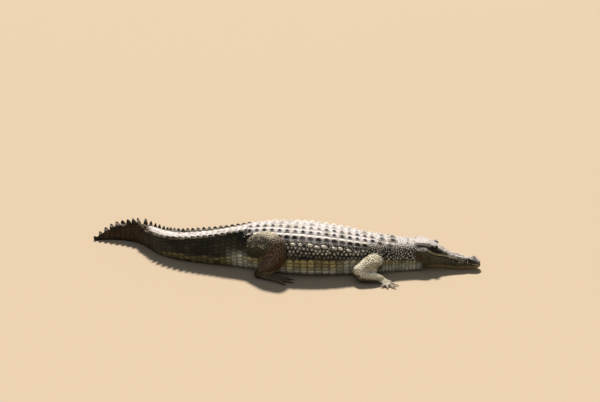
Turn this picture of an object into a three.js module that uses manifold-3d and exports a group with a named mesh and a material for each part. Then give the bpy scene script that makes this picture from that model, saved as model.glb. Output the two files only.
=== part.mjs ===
import * as THREE from 'three';
import { mergeVertices } from 'three/addons/utils/BufferGeometryUtils.js';
import Module from 'manifold-3d';

// A Nile crocodile at rest on its belly, life size, in millimetres: +X towards the head, +Y its left, +Z up.
// The floor is Z = 0, and the origin lies on the flat of the belly.
// "back" is a distance along the spine from the skull to the tail tip, "ahead" one from skull to snout.

const wasm = await Module();
wasm.setup();

// Driving dimensions
const headLength = 458;
const headStart = new THREE.Vector2(742, 12);
const headYaw = THREE.MathUtils.degToRad(-6.5);
const cutGap = 0.3;
const eyeRadius = 15;
const eyeAhead = 130;
const eyeOut = 52;
const eyeHeight = 173;
const mouthCorner = 88;
const mouthGape = 11;
const bellySink = 9;
const bodySides = 20;
const tailSides = 12;
const bodyStep = 80;
const headSides = 20;
const headStep = 36;
const limbSides = 8;
const toeSides = 5;
const clawSides = 4;
const toothSides = 4;

// Cuts across the spine, measured back from the skull
const neckStart = -30;
const neckEnd = 350;
const hips = 1160;
const tailThird = 1560;
const tailEndStart = 2010;
const tailTip = 2498;

const spine = new THREE.CatmullRomCurve3(
  [
    [860, 12], [742, 12], [640, 8], [350, 2], [60, 4], [-240, 28], [-500, 68], [-760, 118], [-930, 165],
    [-1050, 235], [-1140, 335], [-1225, 430], [-1335, 492], [-1470, 512], [-1611, 486],
  ].map(([x, y]) => new THREE.Vector3(x, y, 0)),
  false,
  'centripetal',
);
spine.arcLengthDivisions = 2000;
const spineLead = 118;
const spineLength = spine.getLength();

const samplesPerPair = 24;

// A smooth value between [place, value] pairs
function along(pairs) {
  const points = pairs.map(([at, value]) => new THREE.Vector3(at, value, 0));
  const curve = new THREE.CatmullRomCurve3(points, false, 'centripetal');
  const samples = curve.getPoints(pairs.length * samplesPerPair);
  return (place) => {
    const next = samples.findIndex((point) => point.x >= place);
    if (next === 0) {
      return samples[0].y;
    }
    if (next < 0) {
      return samples[samples.length - 1].y;
    }
    const [a, b] = [samples[next - 1], samples[next]];
    return THREE.MathUtils.mapLinear(place, a.x, b.x, a.y, b.y);
  };
}

// The body's outline: half width, height of the back, height of the widest line, squareness of the upper half
const halfWidth = along([
  [-40, 115], [0, 117], [70, 121], [180, 137], [330, 170], [480, 206], [680, 236], [880, 230], [1030, 196],
  [1160, 152], [1260, 128], [1390, 110], [1530, 96], [1690, 78], [1830, 65], [1970, 53], [2100, 43],
  [2220, 34], [2360, 23], [2498, 4],
]);
const backHeight = along([
  [-40, 207], [0, 208], [60, 211], [170, 224], [330, 246], [480, 276], [680, 307], [880, 321], [1030, 321],
  [1160, 304], [1260, 277], [1390, 244], [1530, 213], [1690, 188], [1830, 175], [1970, 165], [2100, 152],
  [2220, 127], [2360, 86], [2498, 10],
]);
const widestShare = along([[-40, 0.52], [200, 0.44], [700, 0.37], [1160, 0.4], [1600, 0.42], [2498, 0.42]]);
const squareness = along([
  [-40, 2.5], [300, 2.35], [700, 2.3], [1200, 2.4], [1500, 2.9], [1900, 3.2], [2070, 2.2], [2498, 1.8],
]);
const undersideSquareness = along([[-40, 3.5], [240, 3.3], [460, 2.8], [2498, 2.7]]);

// The head's outline: heights above the floor, half widths, from the skull's back edge to the snout tip
const crown = along([
  [-5, 209], [60, 207], [100, 197], [150, 172], [184, 148], [242, 117], [300, 99], [350, 91], [392, 87],
  [425, 80], [446, 69], [458, 56],
]);
const crownHalf = along([
  [-5, 64], [60, 60], [100, 42], [150, 34], [300, 30], [360, 22], [410, 26], [445, 15], [458, 5],
]);
const cheekHalf = along([
  [-5, 116], [50, 112], [90, 104], [128, 91], [184, 73], [242, 61], [300, 57], [335, 53], [365, 40],
  [385, 41], [410, 46], [432, 42], [449, 28], [458, 10],
]);
const cheekHeight = along([
  [-5, 128], [80, 124], [128, 112], [184, 95], [242, 82], [300, 66], [365, 56], [410, 52], [458, 44],
]);
const jawBottom = along([
  [-5, 1], [40, 12], [90, 28], [180, 23], [250, 14], [320, 10], [385, 12], [430, 16], [449, 23], [458, 34],
]);
const lipHeight = along([
  [-60, 166], [40, 160], [88, 149], [120, 133], [150, 121], [218, 104], [275, 84], [312, 68], [335, 66],
  [364, 70], [388, 60], [412, 54], [440, 54], [480, 52],
]);

function solidOf(geometry) {
  const plain = geometry.clone();
  plain.deleteAttribute('normal');
  plain.deleteAttribute('uv');
  const merged = mergeVertices(plain, 1e-4);
  return new wasm.Manifold(new wasm.Mesh({
    numProp: 3,
    vertProperties: new Float32Array(merged.attributes.position.array),
    triVerts: new Uint32Array(merged.index.array),
  }));
}

function geometryOf(solid) {
  const mesh = solid.getMesh();
  const geometry = new THREE.BufferGeometry();
  geometry.setAttribute('position', new THREE.BufferAttribute(new Float32Array(mesh.vertProperties), 3));
  geometry.setIndex(new THREE.BufferAttribute(new Uint32Array(mesh.triVerts), 1));
  return geometry;
}

// A closed solid through rings of equal count, each ring counter-clockwise about the way the rings run
function loft(rings) {
  const count = rings[0].length;
  const points = rings.flat();
  const sumOf = (ring) => ring.reduce((sum, point) => sum.add(point), new THREE.Vector3());
  points.push(...[rings[0], rings[rings.length - 1]].map((ring) => sumOf(ring).divideScalar(count)));
  const [startCap, endCap] = [points.length - 2, points.length - 1];
  const lastRing = (rings.length - 1) * count;
  const index = [];
  for (let side = 0; side < count; side += 1) {
    const next = (side + 1) % count;
    for (let ring = 0; ring < lastRing; ring += count) {
      index.push(ring + side, ring + next, ring + count + next);
      index.push(ring + side, ring + count + next, ring + count + side);
    }
    index.push(startCap, next, side);
    index.push(endCap, lastRing + side, lastRing + next);
  }
  const geometry = new THREE.BufferGeometry().setFromPoints(points);
  geometry.setIndex(index);
  return solidOf(geometry);
}

function steps(from, to, stride) {
  const count = Math.max(1, Math.round((to - from) / stride));
  return Array.from({ length: count + 1 }, (_, step) => from + (step * (to - from)) / count);
}

function boxGeometry(low, high) {
  const size = high.clone().sub(low);
  const box = new THREE.BoxGeometry(size.x, size.y, size.z);
  return box.translate(...low.clone().add(high).multiplyScalar(0.5).toArray());
}

// A block larger than the animal, for cutting at the floor and between head and neck
const room = { length: 2500, width: 1500, depth: 400 };
const underFloor = solidOf(boxGeometry(
  new THREE.Vector3(-room.length, -room.width, -room.depth),
  new THREE.Vector3(room.length, room.width, 0),
));
const onFloor = (solid) => solid.subtract(underFloor);

// The body

function bodyFrame(back) {
  const share = THREE.MathUtils.clamp((back + spineLead) / spineLength, 0, 1);
  const ahead = spine.getTangentAt(share).negate();
  return {
    centre: spine.getPointAt(share),
    ahead,
    left: new THREE.Vector3(-ahead.y, ahead.x, 0),
  };
}

function bodyRing(back, sides, grow) {
  const { centre, left } = bodyFrame(back);
  const [half, top] = [halfWidth(back) + grow, backHeight(back) + grow];
  const widest = widestShare(back) * backHeight(back);
  const [upper, lower] = [squareness(back), undersideSquareness(back)];
  return Array.from({ length: sides }, (_, side) => {
    const angle = ((side + 0.5) * 2 * Math.PI) / sides;
    const [c, s] = [Math.cos(angle), Math.sin(angle)];
    const power = 2 / (s > 0 ? upper : lower);
    const out = half * Math.sign(c) * Math.abs(c) ** power;
    const reach = s > 0 ? top - widest : widest + bellySink + grow;
    const height = widest + reach * Math.sign(s) * Math.abs(s) ** power;
    return centre.clone().addScaledVector(left, -out).setZ(height);
  });
}

function bodyLength({ from, to, sides }, grow = 0) {
  const inset = grow ? -cutGap / 2 : cutGap / 2;
  return loft(steps(from + inset, to - inset, bodyStep).map((back) => bodyRing(back, sides, grow)));
}

// The crest: where it starts, where its two rows become one, and the form of each flat, leaning spine
const crest = {
  start: 1353.66,
  meeting: 2105,
  pitch: 43.17,
  tailMargin: 22,
  lengthShare: 1.02,
  shortening: [0.5, 400],
  thickness: { double: 11, single: 9 },
  splay: 0.3,
  rootDepth: 12,
  lean: 0.34,
  foot: { length: 1.15, thickness: 1.3 },
  tip: { length: 0.3, thickness: 0.3 },
};

// A flat, backward-leaning spine of the tail crest, rooted inside the tail
function crestSpine(back, out, length, height, thickness) {
  const { centre, ahead, left } = bodyFrame(back);
  const half = halfWidth(back);
  const share = Math.min(0.96, Math.abs(out) / half);
  const widest = widestShare(back) * backHeight(back);
  const power = squareness(back);
  const surface = widest + (backHeight(back) - widest) * (1 - share ** power) ** (1 / power);
  const root = centre.clone().addScaledVector(left, out).setZ(surface - crest.rootDepth);
  const up = new THREE.Vector3(0, 0, 1).addScaledVector(left, crest.splay * Math.sign(out)).normalize();
  const ring = (rise, lean, reach, breadth) => [[1, 0], [0, 1], [-1, 0], [0, -1]].map(([f, l]) => root.clone()
    .addScaledVector(up, rise)
    .addScaledVector(ahead, f * reach * 0.5 - lean)
    .addScaledVector(left, l * breadth * 0.5));
  const { foot, tip, lean, rootDepth } = crest;
  return loft([
    ring(0, 0, length * foot.length, thickness * foot.thickness),
    ring(rootDepth + height, length * lean, length * tip.length, thickness * tip.thickness),
  ]);
}

const crestSpread = along([
  [1160, 60], [1400, 60], [1700, 54], [1900, 46], [2000, 36], [2080, 20], [2140, 5],
]);
const crestHeight = along([
  [1160, 14], [1300, 25], [1500, 36], [1700, 43], [1900, 46], [2000, 48], [2150, 51], [2300, 42], [2400, 30],
  [2480, 14],
]);

function crestOn(from, to, solid) {
  let joined = solid;
  const [least, span] = crest.shortening;
  for (let back = crest.start; back < tailTip - crest.tailMargin; back += crest.pitch) {
    const length = crest.pitch * crest.lengthShare * Math.min(1, least + (tailTip - back) / span);
    const inside = back - length / 2 > from && back + length / 2 < to;
    if (inside && back > crest.meeting) {
      joined = joined.add(crestSpine(back, 0, length, crestHeight(back), crest.thickness.single));
    }
    if (inside && back < crest.meeting) {
      for (const side of [-1, 1]) {
        const out = side * crestSpread(back);
        joined = joined.add(crestSpine(back, out, length, crestHeight(back), crest.thickness.double));
      }
    }
  }
  return joined;
}

// The head

const headAhead = new THREE.Vector3(Math.cos(headYaw), Math.sin(headYaw), 0);
const headLeft = new THREE.Vector3(-headAhead.y, headAhead.x, 0);

function inHead(ahead, left, height) {
  return new THREE.Vector3(headStart.x, headStart.y, height)
    .addScaledVector(headAhead, ahead)
    .addScaledVector(headLeft, left);
}

function headRing(ahead) {
  const [top, flat, cheek] = [crown(ahead), crownHalf(ahead), cheekHalf(ahead)];
  const [wide, bottom] = [cheekHeight(ahead), jawBottom(ahead)];
  const shoulder = Math.min(flat * 1.25, cheek * 0.88);
  const half = [
    [0, top], [flat * 0.62, top], [flat, top - 0.03 * (top - wide)], [shoulder, top - 0.3 * (top - wide)],
    [cheek * 0.93, wide + 0.28 * (top - wide)], [cheek, wide], [cheek * 0.95, wide - 0.5 * (wide - bottom)],
    [cheek * 0.78, bottom + 0.1 * (wide - bottom)], [cheek * 0.45, bottom - 3], [0, bottom - 4],
  ];
  const mirrored = half.slice(1, -1).reverse().map(([out, height]) => [-out, height]);
  const outline = [...half, ...mirrored].map(([out, height]) => inHead(ahead, out, height));
  const curve = new THREE.CatmullRomCurve3(outline, true, 'centripetal');
  return curve.getPoints(headSides).slice(0, headSides).reverse();
}

// How far out the head's side stands at a height
function rimAt(ahead, height) {
  const middle = inHead(ahead, 0, height);
  const ring = headRing(ahead);
  const crossing = ring.map((point, side) => [point, ring[(side + 1) % ring.length]])
    .filter(([a, b]) => (a.z - height) * (b.z - height) <= 0)
    .map(([a, b]) => a.clone().lerp(b, (height - a.z) / (b.z - a.z)));
  return Math.min(...crossing.map((point) => point.distanceTo(middle)));
}

// Everything in front of, or behind, the plane between head and neck
function headSlab(from, to) {
  const slab = boxGeometry(
    new THREE.Vector3(from, -room.width, -room.depth),
    new THREE.Vector3(to, room.width, room.depth),
  );
  slab.rotateZ(headYaw);
  slab.translate(headStart.x, headStart.y, 0);
  return solidOf(slab);
}

// The swellings of the head: each a place ahead, out and high, and its radii
const swellings = {
  lids: { at: [122, 45, 168], radii: [36, 23, 25] },
  jawMuscle: { at: [42, 80, 136], radii: [64, 34, 45] },
  nostrils: { at: [404, 0, 78], radii: [27, 25, 15] },
};
const lidOpening = { ahead: 1, out: 22, up: 1, radii: [17, 14, 9], sides: 6 };
const swellingSides = 8;

function ellipsoid(ahead, left, height, radii, across = swellingSides) {
  const ball = new THREE.SphereGeometry(1, across, Math.round(across * 0.75));
  ball.scale(...radii);
  ball.rotateZ(headYaw);
  ball.translate(...inHead(ahead, left, height).toArray());
  return solidOf(ball);
}

const lipCut = { from: -60, to: 500, stride: 35, depth: 400, half: 250 };

// Everything below, or above, the line of the lips, seen from the side
function beyondLip(offset, above) {
  const outline = new THREE.Shape();
  const limit = above ? lipCut.depth : -lipCut.depth;
  outline.moveTo(lipCut.from, limit);
  for (const ahead of steps(lipCut.from, lipCut.to, lipCut.stride)) {
    outline.lineTo(ahead, lipHeight(ahead) + offset(ahead));
  }
  outline.lineTo(lipCut.to, limit);
  outline.closePath();
  const slab = new THREE.ExtrudeGeometry(outline, { depth: 2 * lipCut.half, bevelEnabled: false });
  slab.translate(0, 0, -lipCut.half);
  slab.rotateX(Math.PI / 2);
  slab.rotateZ(headYaw);
  slab.translate(headStart.x, headStart.y, 0);
  return solidOf(slab);
}

const mouthLength = headLength - mouthCorner;
const gapeAt = (ahead) => cutGap + (mouthGape * Math.max(0, ahead - mouthCorner)) / mouthLength;

// Teeth: place ahead of the skull, length below the lip
const upperTeeth = [[445, 11], [429, 15], [410, 19], [336, 15], [315, 22], [293, 17], [262, 14]];
const lowerTeeth = [[366, 25]];
const toothForm = {
  root: 9,
  radius: 2.4,
  radiusPerLength: 0.12,
  lean: 0.14,
  upperInset: 1.1,
  lowerInset: 1.3,
};

function tooth(ahead, side, length, upwards, grow) {
  const root = toothForm.root;
  const radius = toothForm.radius + length * toothForm.radiusPerLength;
  const lip = lipHeight(ahead) - (upwards ? gapeAt(ahead) : 0);
  const cone = new THREE.ConeGeometry(radius + grow, length + root + grow, toothSides);
  cone.rotateX(upwards ? Math.PI / 2 : -Math.PI / 2);
  cone.rotateX(side * (upwards ? -toothForm.lean : toothForm.lean));
  const height = lip + (upwards ? 0.5 : -0.5) * (length - root);
  const inset = radius * (upwards ? toothForm.lowerInset : toothForm.upperInset);
  cone.rotateZ(headYaw);
  cone.translate(...inHead(ahead, side * (rimAt(ahead, lip) - inset), height).toArray());
  return solidOf(cone);
}

function teethOf(list, upwards, grow) {
  return [-1, 1]
    .flatMap((side) => list.map(([ahead, length]) => tooth(ahead, side, length, upwards, grow)))
    .reduce((joined, cone) => joined.add(cone));
}

function wholeHead() {
  const [lastFull, lastRound] = [headLength - 9, headLength - 3];
  const rings = steps(cutGap / 2, lastFull, headStep).concat(lastRound, headLength).map(headRing);
  const swell = (name, side) => {
    const { at: [ahead, out, height], radii } = swellings[name];
    return ellipsoid(ahead, side * out, height, radii);
  };
  let whole = loft(rings).add(swell('nostrils', 1));
  for (const side of [-1, 1]) {
    whole = whole.add(swell('lids', side)).add(swell('jawMuscle', side));
  }
  return whole;
}

function eyeBall(side, grow) {
  const ball = new THREE.IcosahedronGeometry(eyeRadius + grow, 1);
  ball.translate(...inHead(eyeAhead, side * eyeOut, eyeHeight).toArray());
  return solidOf(ball);
}

const openingOf = (side) => ellipsoid(
  eyeAhead + lidOpening.ahead,
  side * (eyeOut + lidOpening.out),
  eyeHeight + lidOpening.up,
  lidOpening.radii,
  lidOpening.sides,
);

// Legs, each given by points in the body's own directions: ahead of the hip or shoulder, outwards, height

const roundEnd = { shift: 0.6, scale: 0.62 };

function limb(points, radii, sides, grow = 0, perSpan = 2) {
  const path = new THREE.CatmullRomCurve3(points, false, 'centripetal');
  const spans = (points.length - 1) * perSpan;
  const rings = [];
  const ringAt = (share, shift, scale) => {
    const centre = path.getPoint(share);
    const tangent = path.getTangent(share);
    const level = new THREE.Vector3(0, 0, 1).cross(tangent).normalize();
    const upright = tangent.clone().cross(level);
    const place = share * (radii.length - 1);
    const lower = Math.min(Math.floor(place), radii.length - 2);
    const [across, tall] = [0, 1].map((axis) => THREE.MathUtils.lerp(
      radii[lower][axis],
      radii[lower + 1][axis],
      place - lower,
    ) * scale + grow);
    centre.addScaledVector(tangent, shift);
    rings.push(Array.from({ length: sides }, (_, side) => {
      const angle = (side * 2 * Math.PI) / sides;
      return centre.clone()
        .addScaledVector(level, Math.cos(angle) * across)
        .addScaledVector(upright, Math.sin(angle) * tall);
    }));
  };
  const [startRound, endRound] = [radii[0][1], radii[radii.length - 1][1]];
  ringAt(0, -startRound * roundEnd.shift - grow, roundEnd.scale);
  for (let span = 0; span <= spans; span += 1) {
    ringAt(span / spans, 0, 1);
  }
  ringAt(1, endRound * roundEnd.shift + grow, roundEnd.scale);
  return loft(rings);
}

const shoulderBack = 330;
const hipBack = 1085;

function placeIn(back, side) {
  const { centre, ahead, left } = bodyFrame(back);
  return ([forward, out, height]) => centre.clone()
    .addScaledVector(ahead, forward)
    .addScaledVector(left, side * out)
    .setZ(height);
}

const frontLeg = {
  back: shoulderBack,
  upper: {
    name: 'upper_arm',
    points: [[36, 120, 96], [-4, 198, 100], [-86, 262, 68]],
    radii: [[66, 68], [67, 66], [54, 54]],
  },
  lower: {
    name: 'forearm',
    points: [[-66, 268, 50], [0, 280, 47], [72, 288, 31]],
    radii: [[49, 49], [46, 44], [28, 23]],
  },
  foot: { name: 'hand', points: [[70, 288, 27], [100, 318, 17]], radii: [[28, 21], [38, 15]] },
  claws: 3,
  toeRadius: 9.5,
  webReach: 0,
  toes: [[136, 282], [164, 334], [148, 376], [104, 386], [60, 362]],
};

const hindToes = {
  foot: { name: 'foot', points: [[2, 236, 32], [124, 260, 17]], radii: [[33, 31], [43, 14]] },
  claws: 3,
  toeRadius: 10.5,
  webReach: 0.62,
  toes: [[186, 218], [238, 246], [246, 294], [214, 338]],
};

// The near hind leg is drawn up, and the far one lies lower beside the trunk
const hindLeg = {
  right: {
    ...hindToes,
    back: hipBack,
    upper: {
      name: 'thigh',
      points: [[-36, 94, 174], [64, 152, 208], [138, 198, 210]],
      radii: [[84, 98], [92, 106], [74, 87]],
    },
    lower: {
      name: 'shank',
      points: [[148, 208, 172], [98, 224, 104], [22, 234, 46]],
      radii: [[60, 68], [62, 64], [36, 38]],
    },
  },
  left: {
    ...hindToes,
    back: hipBack,
    upper: {
      name: 'thigh',
      points: [[-56, 90, 146], [22, 165, 152], [104, 228, 142]],
      radii: [[78, 88], [80, 84], [57, 60]],
    },
    lower: {
      name: 'shank',
      points: [[114, 236, 120], [66, 240, 82], [14, 236, 46]],
      radii: [[53, 56], [50, 50], [36, 38]],
    },
  },
};

// Toes: how wide their roots stand, and how high each one's root, knuckle and tip are
const toeForm = { spread: 46, start: 4, rootHeight: 13, knuckleHeight: 15, tipHeight: 8 };
const toeTaper = [[1.05, 1.05], [1, 1], [0.72, 0.66]];
const webForm = { farReach: 0.25, most: 0.9, heel: 24, thickness: 6, lift: 3 };

function toePath(leg, place, index) {
  const from = leg.foot.points[leg.foot.points.length - 1];
  const [forward, out] = leg.toes[index];
  const spread = (index / (leg.toes.length - 1) - 0.5) * toeForm.spread;
  const root = [from[0] + toeForm.start, from[1] + spread, toeForm.rootHeight];
  const knuckle = [(root[0] + forward) / 2, (root[1] + out) / 2, toeForm.knuckleHeight];
  return [root, knuckle, [forward, out, toeForm.tipHeight]].map(place);
}

function footSolid(leg, place, grow) {
  const taper = toeTaper.map((pair) => pair.map((share) => share * leg.toeRadius));
  let joined = limb(leg.foot.points.map(place), leg.foot.radii, limbSides, grow, 1);
  leg.toes.forEach((_, index) => {
    joined = joined.add(limb(toePath(leg, place, index), taper, toeSides, grow, 1));
  });
  return leg.webReach ? joined.add(web(leg, place, grow)) : joined;
}

// The skin between the toes: a low plate from the palm, out between each pair
function web(leg, place, grow) {
  const from = leg.foot.points[leg.foot.points.length - 1];
  const towards = (spot, share) => spot.map((value, axis) => THREE.MathUtils.lerp(from[axis], value, share));
  const rim = [];
  leg.toes.forEach((toe, index) => {
    rim.push(towards(toe, Math.min(leg.webReach + webForm.farReach, webForm.most)));
    const next = leg.toes[index + 1];
    if (next) {
      rim.push(towards([(toe[0] + next[0]) / 2, (toe[1] + next[1]) / 2], leg.webReach));
    }
  });
  rim.push([from[0], from[1] + webForm.heel], [from[0], from[1] - webForm.heel]);
  const outline = rim.map(([f, o]) => place([f, o, 0])).map(({ x, y }) => new THREE.Vector2(x, y));
  const depth = webForm.thickness + 2 * grow;
  const plate = new THREE.ExtrudeGeometry(new THREE.Shape(outline), { depth, bevelEnabled: false });
  plate.translate(0, 0, webForm.lift - grow);
  return solidOf(plate);
}

// Rings of a claw: how far from the toe's tip as a share of its reach, how high, and the radius
const clawRings = [[0, 8, 4], [0.5, 9.5, 3.8], [0.85, 7, 2.4], [1.15, 3.2, 0.7]];
const clawReach = 2.5;

function claw(leg, place, index) {
  const path = toePath(leg, place, index);
  const tip = path[2];
  const ahead = tip.clone().sub(path[1]).setZ(0).normalize();
  const reach = leg.toeRadius * clawReach;
  const left = new THREE.Vector3(-ahead.y, ahead.x, 0);
  return loft(clawRings.map(([share, height, radius]) => Array.from({ length: clawSides }, (_, corner) => {
    const angle = (corner * 2 * Math.PI) / clawSides;
    return tip.clone()
      .addScaledVector(ahead, share * reach)
      .addScaledVector(left, radius * Math.cos(angle))
      .setZ(height + radius * Math.sin(angle));
  })));
}

// Colours

const skinOf = (colour) => new THREE.MeshStandardMaterial({ color: colour, roughness: 0.72, metalness: 0 });
const colours = {
  back: 0x8f8b78,
  head: 0x9a927c,
  jaw: 0xb3a27c,
  limb: 0x9c967a,
  eye: 0x9a8a3a,
  claw: 0xb9b09a,
};

const crocodile = new THREE.Group();

function keep(name, solid, colour) {
  const mesh = new THREE.Mesh(geometryOf(solid), skinOf(colour));
  mesh.name = name;
  crocodile.add(mesh);
}

// Neck, trunk and tail

const lengths = [
  { name: 'neck', from: neckStart, to: neckEnd, sides: bodySides },
  { name: 'trunk', from: neckEnd, to: hips, sides: bodySides },
  { name: 'tail_base', from: hips, to: tailThird, sides: tailSides },
  { name: 'tail_middle', from: tailThird, to: tailEndStart, sides: tailSides },
  { name: 'tail_end', from: tailEndStart, to: tailTip, sides: tailSides },
];
for (const length of lengths) {
  const solid = onFloor(crestOn(length.from, length.to, bodyLength(length)));
  const own = length.name === 'neck' ? solid.subtract(headSlab(-cutGap / 2, headLength)) : solid;
  keep(length.name, own, colours.back);
}
const bodyGrown = lengths
  .map((length) => bodyLength(length, cutGap))
  .reduce((joined, solid) => joined.add(solid));

// Head, lower jaw and eyes

const head = onFloor(wholeHead()).subtract(headSlab(-headLength, cutGap / 2));
const upperSet = teethOf(upperTeeth, false, 0);
const lowerSet = teethOf(lowerTeeth, true, 0);
let skull = head.subtract(beyondLip(() => 0, false)).add(upperSet);
skull = skull.subtract(teethOf(lowerTeeth, true, cutGap));
for (const side of [-1, 1]) {
  skull = skull.subtract(eyeBall(side, 2 * cutGap)).subtract(openingOf(side));
}
keep('head', skull, colours.head);
const jaw = head.subtract(beyondLip((ahead) => -gapeAt(ahead), true));
keep('lower_jaw', jaw.subtract(teethOf(upperTeeth, false, cutGap)).add(lowerSet), colours.jaw);
keep('eye_right', eyeBall(-1, 0), colours.eye);
keep('eye_left', eyeBall(1, 0), colours.eye);

// Legs

for (const [sideName, side] of [['right', -1], ['left', 1]]) {
  for (const [legName, leg] of [['front', frontLeg], ['hind', hindLeg[sideName]]]) {
    const place = placeIn(leg.back, side);
    const part = ({ points, radii }, grow = 0) => limb(points.map(place), radii, limbSides, grow);
    const foot = footSolid(leg, place, 0).subtract(part(leg.lower, cutGap));
    keep(`${leg.upper.name}_${sideName}`, onFloor(part(leg.upper).subtract(bodyGrown)), colours.limb);
    const lower = part(leg.lower).subtract(part(leg.upper, cutGap)).subtract(bodyGrown);
    keep(`${leg.lower.name}_${sideName}`, onFloor(lower), colours.limb);
    keep(`${leg.foot.name}_${sideName}`, onFloor(foot), colours.limb);
    const footGrown = footSolid(leg, place, cutGap);
    for (let index = 0; index < leg.claws; index += 1) {
      const name = `claw_${legName}_${sideName}_${index + 1}`;
      keep(name, onFloor(claw(leg, place, index).subtract(footGrown)), colours.claw);
    }
  }
}

export default crocodile;
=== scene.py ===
import bmesh
import bpy
import itertools
import math
import numpy as np
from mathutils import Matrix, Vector
from mathutils.bvhtree import BVHTree
from mathutils.kdtree import KDTree


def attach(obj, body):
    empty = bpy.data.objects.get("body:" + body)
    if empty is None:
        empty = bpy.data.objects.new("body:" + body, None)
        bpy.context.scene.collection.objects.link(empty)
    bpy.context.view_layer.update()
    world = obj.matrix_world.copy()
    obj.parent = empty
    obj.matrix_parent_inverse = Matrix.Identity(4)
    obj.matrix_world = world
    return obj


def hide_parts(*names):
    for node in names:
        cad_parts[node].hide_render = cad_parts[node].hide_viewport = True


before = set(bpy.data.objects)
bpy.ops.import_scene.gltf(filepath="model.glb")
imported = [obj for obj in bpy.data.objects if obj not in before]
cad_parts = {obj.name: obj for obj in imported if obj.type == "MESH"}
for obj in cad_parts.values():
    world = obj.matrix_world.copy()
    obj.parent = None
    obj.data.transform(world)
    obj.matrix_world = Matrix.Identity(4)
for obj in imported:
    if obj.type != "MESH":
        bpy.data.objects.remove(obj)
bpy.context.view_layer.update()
mm = 0.001
floorGap = 1.2 * mm  # the skin's flats stand this far over the floor
dice = np.random.default_rng(17)  # one seeded source of chance for the whole script


def hexLinear(text):
    parts = [int(text[at:at + 2], 16) / 255 for at in (1, 3, 5)]
    return np.array([part / 12.92 if part <= 0.04045 else ((part + 0.055) / 1.055) ** 2.4 for part in parts])


def roundThrough(points, perSpan=24, closed=False):
    # a smooth line through the points, with no loops where they crowd together
    points = np.array(points, float)
    if closed:
        points = np.vstack([points[-1:], points, points[:2]])
    else:
        points = np.vstack([2 * points[0] - points[1], points, 2 * points[-1] - points[-2]])
    share = np.linspace(0, 1, perSpan, endpoint=False)[:, None]
    line = []
    for at in range(1, len(points) - 2):
        p0, p1, p2, p3 = points[at - 1:at + 3]
        t0, t1, t2 = (max(np.linalg.norm(b - a), 1e-6) ** 0.5 for a, b in ((p0, p1), (p1, p2), (p2, p3)))
        lead = t1 * ((p1 - p0) / t0 - (p2 - p0) / (t0 + t1) + (p2 - p1) / t1)
        trail = t1 * ((p2 - p1) / t1 - (p3 - p1) / (t1 + t2) + (p3 - p2) / t2)
        square = -3 * p1 + 3 * p2 - 2 * lead - trail
        cube = 2 * p1 - 2 * p2 + lead + trail
        line.append(p1 + lead * share + square * share ** 2 + cube * share ** 3)
    if not closed:
        line.append(points[-2:-1])
    return np.vstack(line)


def along(pairs, scale=mm):
    # a smooth function through pairs of a place in millimetres and a value
    line = roundThrough(pairs)
    return lambda place: np.interp(place, line[:, 0] * mm, line[:, 1] * scale)


def ramp(value, low, high):
    share = np.clip((np.asarray(value, float) - low) / (high - low), 0, 1)
    return share * share * (3 - 2 * share)


def hump(value, middle, width):
    return np.exp(-((value - middle) / width) ** 2)


def unit(vectors):
    return vectors / np.maximum(np.linalg.norm(vectors, axis=-1, keepdims=True), 1e-9)


def distance(points, place):
    return np.linalg.norm(points - place, axis=-1)


def lengthsAlong(line):
    return np.concatenate([[0], np.cumsum(np.linalg.norm(np.diff(line, axis=0), axis=1))])


def leftOf(ahead):
    return np.array([-ahead[1], ahead[0], 0])


def circle(count):
    # cosines and sines round a circle, as columns
    angles = np.arange(count) * 2 * math.pi / count
    return np.cos(angles)[:, None], np.sin(angles)[:, None]


def treeOf(points):
    tree = KDTree(len(points))
    for at, point in enumerate(points):
        tree.insert(point, at)
    tree.balance()
    return tree


# The body's outline in millimetres: "back" is a distance along the spine from the skull to the tail tip
bodyForm = {
    "spine": [
        (860, 12), (742, 12), (640, 8), (350, 2), (60, 4), (-240, 28), (-500, 68), (-760, 118), (-930, 165),
        (-1050, 235), (-1140, 335), (-1225, 430), (-1335, 492), (-1470, 512), (-1611, 486),
    ],
    "spineLead": 0.118,
    "halfWidth": [
        (-40, 115), (0, 117), (70, 121), (180, 137), (330, 170), (480, 206), (680, 236), (880, 230),
        (1030, 196), (1160, 152), (1260, 128), (1390, 110), (1530, 96), (1690, 78), (1830, 65), (1970, 53),
        (2100, 43), (2220, 34), (2360, 23), (2498, 4),
    ],
    "backHeight": [
        (-40, 207), (0, 208), (60, 211), (170, 224), (330, 246), (480, 276), (680, 307), (880, 321),
        (1030, 321), (1160, 304), (1260, 277), (1390, 244), (1530, 213), (1690, 188), (1830, 175),
        (1970, 165), (2100, 152), (2220, 127), (2360, 86), (2498, 10),
    ],
    "widestShare": [(-40, 0.52), (200, 0.44), (700, 0.37), (1160, 0.4), (1600, 0.42), (2498, 0.42)],
    "squareness": [
        (-40, 2.5), (300, 2.35), (700, 2.3), (1200, 2.4), (1500, 2.9), (1900, 3.2), (2070, 2.2), (2498, 1.8),
    ],
    "undersideSquareness": [(-40, 3.5), (240, 3.3), (460, 2.8), (2498, 2.7)],
    "bellySink": 0.009,  # the belly's curve passes this far below the floor, where it lies flat
    "neckStart": -0.045,
    "tailTip": 2.490,
    "ringStep": 0.012,
    "ringSides": 72,
}
halfWidth = along(bodyForm["halfWidth"])
backHeight = along(bodyForm["backHeight"])
widestShare = along(bodyForm["widestShare"], 1)
squareness = along(bodyForm["squareness"], 1)
undersideSquareness = along(bodyForm["undersideSquareness"], 1)
spineLine = roundThrough(bodyForm["spine"], 150) * mm
spineBack = lengthsAlong(spineLine) - bodyForm["spineLead"]


def spineAt(back):
    return np.stack([np.interp(back, spineBack, spineLine[:, axis]) for axis in (0, 1)], -1)


def aheadAt(back):
    back = np.clip(back, -0.10, 2.49)
    return unit(spineAt(back - 0.004) - spineAt(back + 0.004))


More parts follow.
